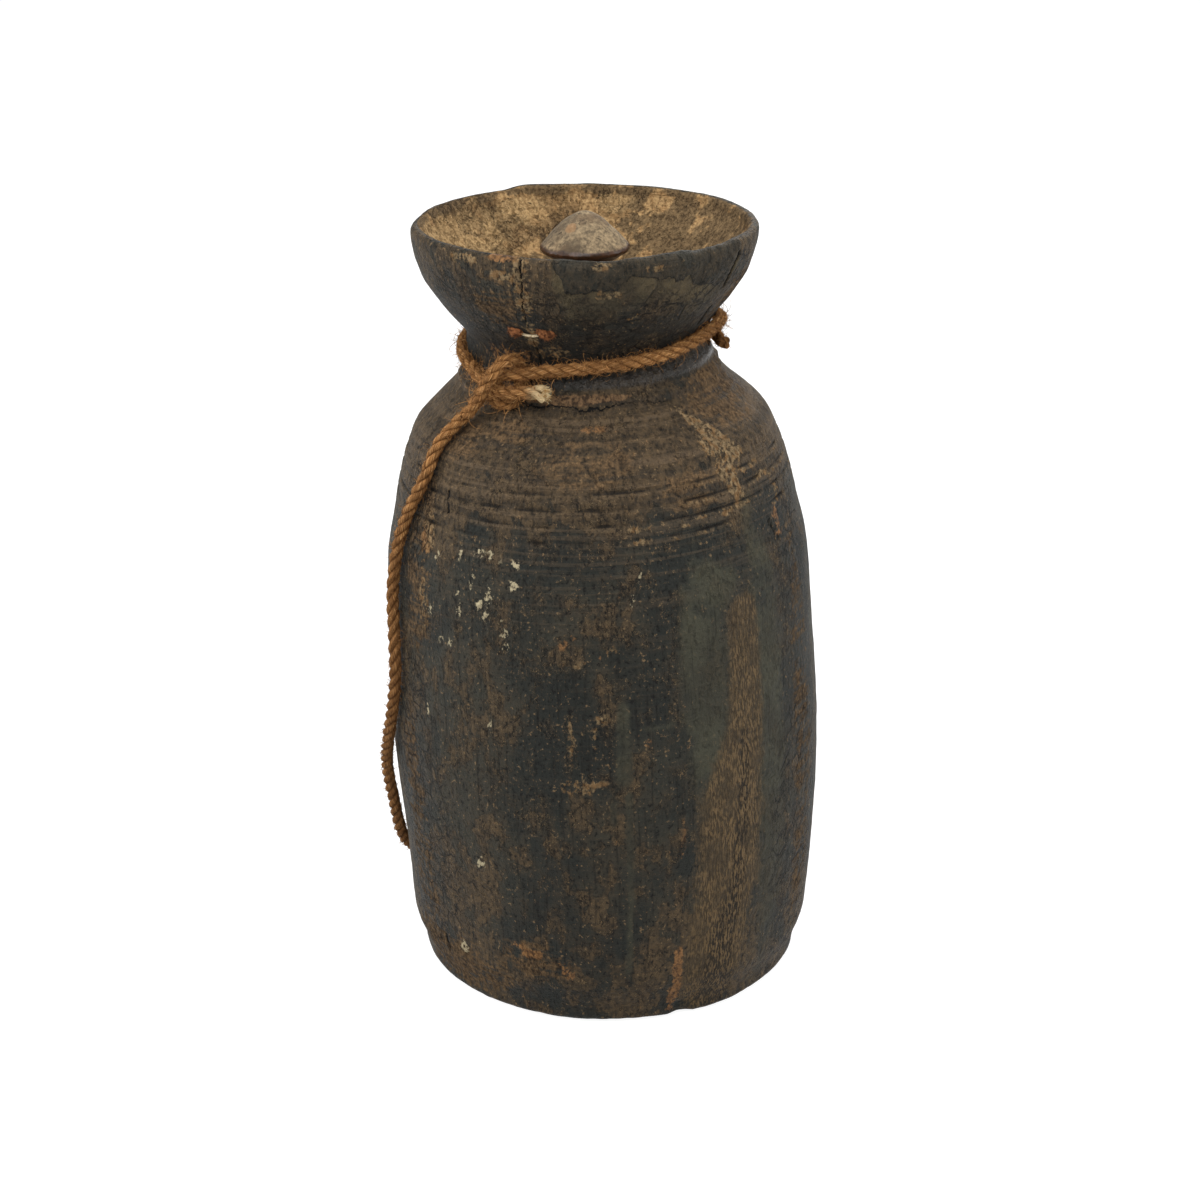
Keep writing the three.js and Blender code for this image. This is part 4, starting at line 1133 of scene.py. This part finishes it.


# Twisted jute: fine fibres along each strand, painted shade in the lay, a painted highlight on the crowns,
# pale at the cut end, and darker along most of the carrying loop
# Painted shade in the lay between the strands
PAINTED_LAY_SHADE_JUTE = (54, 34, 18)
SHADED_JUTE = (92, 60, 33)
PLAIN_JUTE = (180, 127, 74)
# Painted highlight on the strands' crowns
PAINTED_CROWN_HIGHLIGHT_JUTE = (240, 194, 134)
CUT_JUTE = (218, 194, 150)
FIBRE_TWIST = 700.0
# Lengths along the rope in metres over which the carrying loop turns darker, past the knot
LOOP_DARKENS_FROM = 0.46
LOOP_DARKEST_FROM = 0.54
jute, tree = new_finish("jute_strands")
along = value_of(tree, "along")
crown = value_of(tree, "crown")
twisted = plus(times(value_of(tree, "around"), 2 * math.pi), along, FIBRE_TWIST)
lie = fed("ShaderNodeCombineXYZ", {
    0: math_node("COSINE", twisted),
    1: math_node("SINE", twisted),
    2: plus(value_of(tree, "strand"), along, 90.0),
}).outputs[0]
fibres = stretched_noise(lie, (4.2, 4.2, 1.0), 6, 0.72)
patches = stretched_noise(lie, (0.6, 0.6, 0.5), 4, 0.65)
cut_share = remap(along, 0.001, 0.008, 0.9, 0.0)
colour = coats(
    blend(remap(fibres, 0.4, 0.56), SHADED_JUTE, PLAIN_JUTE),
    # painted highlight on the crowns
    (PAINTED_CROWN_HIGHLIGHT_JUTE, remap(fibres, 0.52, 0.64), remap(crown, 0.0, 0.9), 0.85),
    (SHADED_JUTE, remap(patches, 0.44, 0.6), 0.65),
    # painted shade in the lay
    (PAINTED_LAY_SHADE_JUTE, remap(crown, -0.3, 0.5, 1.0, 0.0), 0.6),
    # darker along the carrying loop past the knot
    (SHADED_JUTE, remap(along, LOOP_DARKENS_FROM, LOOP_DARKEST_FROM, 0.0, 0.5)),
    (CUT_JUTE, cut_share, remap(fibres, 0.36, 0.52, 0.35, 1.0)),
)
shaded({"Base Color": colour, "Roughness": 0.9, "Specular IOR Level": 0.15}, fibres, 0.6)


def loosened(along):
    """How far the strands stand apart along the rope, about 1 everywhere."""
    return 1 + 0.1 * np.sin(0.9 * along) * np.sin(0.37 * along + 1)


def laid(name, points, along, side, across, splay, node):
    """A length of rope on its line, whose points carry the rope's directions and lengths."""
    mesh = mesh_of(name + "_line", points, [], [(i, i + 1) for i in range(len(points) - 1)])
    keep(mesh, "along", along.astype(np.float32) * MM)
    keep(mesh, "splay", splay)
    keep(mesh, "side", side)
    keep(mesh, "across", across)
    source = placed(name + "_line", mesh)
    strands = made_by(source, laid_rope, {
        "Lay Length": LAY_LENGTH * MM, "Strand Radius": STRAND_RADIUS * MM,
        "Strand Offset": STRAND_OFFSET * MM, "Strand Sides": STRAND_SIDES, "Finish": jute,
    })
    bpy.data.objects.remove(source)
    made = piece(name, strands, "pot", node)
    return made


neck_count = len(neck_line)
neck_splay = loosened(neck_along) + np.exp(-neck_along / 2.2)
neck_winding = laid(
    "neck_rope_strands", neck_line, neck_along, both_side[:neck_count], both_across[:neck_count],
    neck_splay, "neck_rope",
)
carrying_loop = laid(
    "carrying_loop_strands", loop_line, loop_along, both_side[neck_count:], both_across[neck_count:],
    loosened(loop_along), "carry_loop",
)

# Loose fibres that stand off the rope
fuzz_tree, given = shape_tree("loose_fibres", {
    "Fibre": "Object", "Density": "Float", "Least Length": "Float", "Most Length": "Float", "Lean": "Float",
    "Seed": "Int", "Finish": "Material",
})
sowing = {"Mesh": given["Geometry"], "Density": given["Density"], "Seed": given["Seed"]}
rooted = fed("GeometryNodeDistributePointsOnFaces", sowing)
upright_fibre = fed("FunctionNodeAlignRotationToVector", {"Vector": rooted.outputs["Normal"]}, axis="Z")


def chance(tree, low, high, seed):
    inputs = {2: low, 3: high, "Seed": seed}
    return add_node(tree, "FunctionNodeRandomValue", inputs, data_type="FLOAT").outputs[1]


lean_back = math_node("MULTIPLY", given["Lean"], -1.0)
tipped = fed("ShaderNodeCombineXYZ", {
    0: chance(fuzz_tree, lean_back, given["Lean"], 11),
    1: chance(fuzz_tree, lean_back, given["Lean"], 12),
    2: chance(fuzz_tree, 0.0, 2 * math.pi, 13),
})
tip_turn = fed("FunctionNodeEulerToRotation", {0: tipped.outputs[0]})
turns = {"Rotation": upright_fibre.outputs[0], "Rotate By": tip_turn.outputs[0]}
pointed = fed("FunctionNodeRotateRotation", turns, rotation_space="LOCAL")
share = math_node("POWER", chance(fuzz_tree, 0.0, 1.0, 14), 2.4)
span = minus(given["Most Length"], given["Least Length"])
fibre_length = plus(given["Least Length"], share, span)
planted = fed("GeometryNodeInstanceOnPoints", {
    "Points": rooted.outputs["Points"],
    "Instance": fed("GeometryNodeObjectInfo", {"Object": given["Fibre"]}).outputs["Geometry"],
    "Rotation": pointed.outputs[0],
    "Scale": fed("ShaderNodeCombineXYZ", {k: fibre_length for k in range(3)}).outputs[0],
})
shape_done(planted.outputs[0], given["Finish"])


def fibre_object(name, width, curl, steps=3):
    """A fibre one unit long that tapers to a point and curls over by an angle in radians."""
    points = []
    for i in range(steps):
        t = i / steps
        over_by = (1 - math.cos(curl * t)) / curl
        up_by = math.sin(curl * t) / curl
        thick = width * (1 - 0.8 * t)
        for k in range(3):
            a = 2 * math.pi * k / 3
            sideways = thick * math.cos(a)
            points.append((
                over_by + sideways * math.cos(curl * t),
                thick * math.sin(a),
                up_by - sideways * math.sin(curl * t),
            ))
    points.append(((1 - math.cos(curl)) / curl, 0, math.sin(curl) / curl))
    top = 3 * (steps - 1)
    faces = ring_faces(steps, 3) + [(top + k, top + (k + 1) % 3, 3 * steps) for k in range(3)] + [(2, 1, 0)]
    mesh = bpy.data.meshes.new(name)
    mesh.from_pydata(points, [], faces)
    return placed(name, mesh)


def plain_fibre_finish(name, dark, pale):
    made, tree = new_finish(name)
    place = add_node(tree, "ShaderNodeTexCoord").outputs["Object"]
    tone = remap(stretched_noise(place, (700, 700, 700), 2), 0.35, 0.65)
    shaded({"Base Color": blend(tone, dark, pale), "Roughness": 0.85, "Specular IOR Level": 0.2})
    return made


def fibres_on(name, base, fibre, finish, density, least, most, lean_by, seed):
    """Fibres rooted on a mesh, so many to a square metre, with their lengths in millimetres."""
    source = placed(name + "_base", base)
    mesh = made_by(source, fuzz_tree, {
        "Fibre": fibre, "Density": density, "Least Length": least * MM, "Most Length": most * MM,
        "Lean": lean_by, "Seed": seed, "Finish": finish,
    })
    bpy.data.objects.remove(source)
    made = placed(name, mesh)
    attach(made, "pot")
    return made


fuzz_fibre = fibre_object("fuzz_fibre", width=0.045, curl=1.4)
hair_fibre = fibre_object("hair_fibre", width=0.012, curl=2.6, steps=8)
fuzz_finish = plain_fibre_finish("jute_fuzz", (86, 55, 30), (192, 139, 84))
hair_finish = plain_fibre_finish("jute_hair", (90, 61, 35), (176, 128, 78))
# A darker fuzz for the carrying loop
darker_loop_fuzz_finish = plain_fibre_finish("darker_loop_jute_fuzz", (74, 48, 27), (156, 112, 68))
neck_mesh = neck_winding.data
loop_mesh = carrying_loop.data
fibres_on(
    "neck_rope_fuzz", neck_mesh, fuzz_fibre, fuzz_finish,
    density=900000, least=0.8, most=3.4, lean_by=1.4, seed=3,
)
loop_fuzz = fibres_on(
    "carrying_loop_fuzz", loop_mesh, fuzz_fibre, darker_loop_fuzz_finish,
    density=500000, least=0.8, most=3.4, lean_by=1.4, seed=4,
)
fibres_on(
    "neck_rope_hair", neck_mesh, hair_fibre, hair_finish,
    density=95000, least=4, most=15, lean_by=1.3, seed=8,
)
loop_hair = fibres_on(
    "carrying_loop_hair", loop_mesh, hair_fibre, hair_finish,
    density=30000, least=3, most=9, lean_by=1.3, seed=9,
)

# The frayed end: pale cut fibres that spread from the strands
BRUSH_SIDES = 14
BRUSH_RADIUS = 2.5
BRUSH_INSET = 0.6
end_direction = neck_line[0] - neck_line[4]
end_direction /= np.linalg.norm(end_direction)
brush_points = [neck_line[0] - BRUSH_INSET * end_direction]
for i in range(BRUSH_SIDES):
    a = 2 * math.pi * i / BRUSH_SIDES
    rim = BRUSH_RADIUS * (math.cos(a) * both_side[0] + math.sin(a) * both_across[0])
    brush_points.append(brush_points[0] + rim)
brush_faces = [(0, 1 + (i + 1) % BRUSH_SIDES, 1 + i) for i in range(BRUSH_SIDES)]
brush_mesh = mesh_of("frayed_face", brush_points, brush_faces)
cut_finish = plain_fibre_finish("cut_jute", (178, 140, 88), (232, 214, 172))
brush_fibre = fibre_object("brush_fibre", width=0.045, curl=0.4)
fibres_on(
    "rope_frayed_end", brush_mesh, brush_fibre, cut_finish,
    density=14000000, least=2.2, most=5, lean_by=0.6, seed=5,
)

# A rough tuft under the knot, where the rope is bent back hardest
TUFT_RADIUS = 2.6
tuft_middle = off_skin(-127, COLLAR + 1.5, 6)
tuft_tips = np.array(((1, 0, 0), (-1, 0, 0), (0, 1, 0), (0, -1, 0), (0, 0, 1), (0, 0, -1)))
tuft_faces = [(0, 2, 4), (2, 1, 4), (1, 3, 4), (3, 0, 4), (2, 0, 5), (1, 2, 5), (3, 1, 5), (0, 3, 5)]
tuft_mesh = mesh_of("knot_tuft_base", tuft_middle + TUFT_RADIUS * tuft_tips, tuft_faces)
fibres_on(
    "knot_tuft", tuft_mesh, hair_fibre, fuzz_finish,
    density=2400000, least=3, most=10, lean_by=1.3, seed=10,
)


# Stitch
# A mend across the crack in the bowl: two holes packed with rusty fibre, and a short wire drawn
# between them that holds the sides of the crack together.
STITCH_LEVEL = COLLAR + 30
STITCH_ANGLE = -111.2
STITCH_SPAN = 12.4
PEG_RADII = {"left": 2.5, "right": 3.1}
PEG_NECK = 1.5
PEG_HEAD = 2.4
PEG_DEPTH = 4
PEG_SIDES = 20
WIRE_RADIUS = 0.6
WIRE_SAG = 0.96
WIRE_STEPS = 14
WIRE_SIDES = 10
peg_angles = {"left": STITCH_ANGLE - STITCH_SPAN / 2, "right": STITCH_ANGLE + STITCH_SPAN / 2}
packing_fibre = fibre_object("packing_fibre", width=0.07, curl=1.2)
packing_finish = plain_fibre_finish("rusty_packing", (76, 45, 26), (156, 101, 63))
for side_name, peg_angle in peg_angles.items():
    foot_point = off_skin(peg_angle, STITCH_LEVEL, 0)
    up = off_skin(peg_angle, STITCH_LEVEL + 0.5, 0) - off_skin(peg_angle, STITCH_LEVEL - 0.5, 0)
    along_ring = off_skin(peg_angle + 0.5, STITCH_LEVEL, 0) - off_skin(peg_angle - 0.5, STITCH_LEVEL, 0)
    outward = np.cross(along_ring, up)
    outward, up, along_ring = [v / np.linalg.norm(v) for v in (outward, up, along_ring)]
    rows = [(PEG_NECK, -PEG_DEPTH), (PEG_NECK, -1)]
    for a in np.radians(range(0, 90, 15)):
        rows.append((PEG_RADII[side_name] * math.cos(a), PEG_HEAD * math.sin(a)))
    peg_points = [foot_point - PEG_DEPTH * outward]
    for reach, out_by in rows:
        for k in range(PEG_SIDES):
            a = 2 * math.pi * k / PEG_SIDES
            uneven = 1 + 0.18 * math.cos(2 * a + 0.7) + 0.12 * math.sin(3 * a)
            wide = reach if out_by < 0 else reach * uneven
            sideways = wide * (math.cos(a) * along_ring + 0.85 * math.sin(a) * up)
            peg_points.append(foot_point + sideways + out_by * outward)
    peg_points.append(foot_point + PEG_HEAD * outward)
    last = 1 + (len(rows) - 1) * PEG_SIDES
    faces = [(0, 1 + (k + 1) % PEG_SIDES, 1 + k) for k in range(PEG_SIDES)]
    faces += ring_faces(len(rows), PEG_SIDES, 1)
    faces += [(last + k, last + (k + 1) % PEG_SIDES, len(peg_points) - 1) for k in range(PEG_SIDES)]
    peg_mesh = mesh_of(f"stitch_packing_{side_name}", peg_points, faces)
    peg_mesh.shade_smooth()
    peg_mesh.materials.append(packing_finish)
    packing = piece(f"stitch_packing_{side_name}", peg_mesh, "pot", f"stitch_peg_{side_name}")
    fibres_on(
        f"stitch_tuft_{side_name}", peg_mesh, packing_fibre, packing_finish,
        density=9000000, least=0.5, most=1.6, lean_by=1.2, seed=6,
    )

wire_share = np.linspace(0, 1, WIRE_STEPS)
wire_angles = np.linspace(peg_angles["left"] + 1.6, peg_angles["right"] - 1.6, WIRE_STEPS)
wire_points = np.array([
    off_skin(angle, STITCH_LEVEL - WIRE_SAG * math.sin(math.pi * t) - 0.6, WIRE_RADIUS + 0.25)
    for angle, t in zip(wire_angles, wire_share)
])
wire_side, wire_across = sides_of(wire_points)
wire_rings = []
for i, centre in enumerate(wire_points):
    thick = WIRE_RADIUS * (0.75 + 0.25 * math.sin(math.pi * wire_share[i]))
    for k in range(WIRE_SIDES):
        a = 2 * math.pi * k / WIRE_SIDES
        wire_rings.append(centre + thick * (math.cos(a) * wire_side[i] + math.sin(a) * wire_across[i]))
wire_faces = ring_faces(WIRE_STEPS, WIRE_SIDES)
wire_faces.append(tuple(range(WIRE_SIDES - 1, -1, -1)))
wire_faces.append(tuple((WIRE_STEPS - 1) * WIRE_SIDES + k for k in range(WIRE_SIDES)))
wire_mesh = mesh_of("stitch_wire_strand", wire_rings, wire_faces)
wire_mesh.shade_smooth()
wire_finish, tree = new_finish("dull_wire")
place = add_node(tree, "ShaderNodeTexCoord").outputs["Object"]
tarnish = stretched_noise(place, (1500, 1500, 1500), 3)
shaded({
    "Base Color": blend(remap(tarnish, 0.4, 0.65), (196, 180, 148), (120, 88, 56)),
    "Roughness": remap(tarnish, 0.3, 0.7, 0.35, 0.7),
    "Metallic": 0.4,
})
wire_mesh.materials.append(wire_finish)
wire = piece("stitch_wire_strand", wire_mesh, "pot", "stitch_wire")

for pattern in (fuzz_fibre, hair_fibre, brush_fibre, packing_fibre):
    bpy.data.objects.remove(pattern)
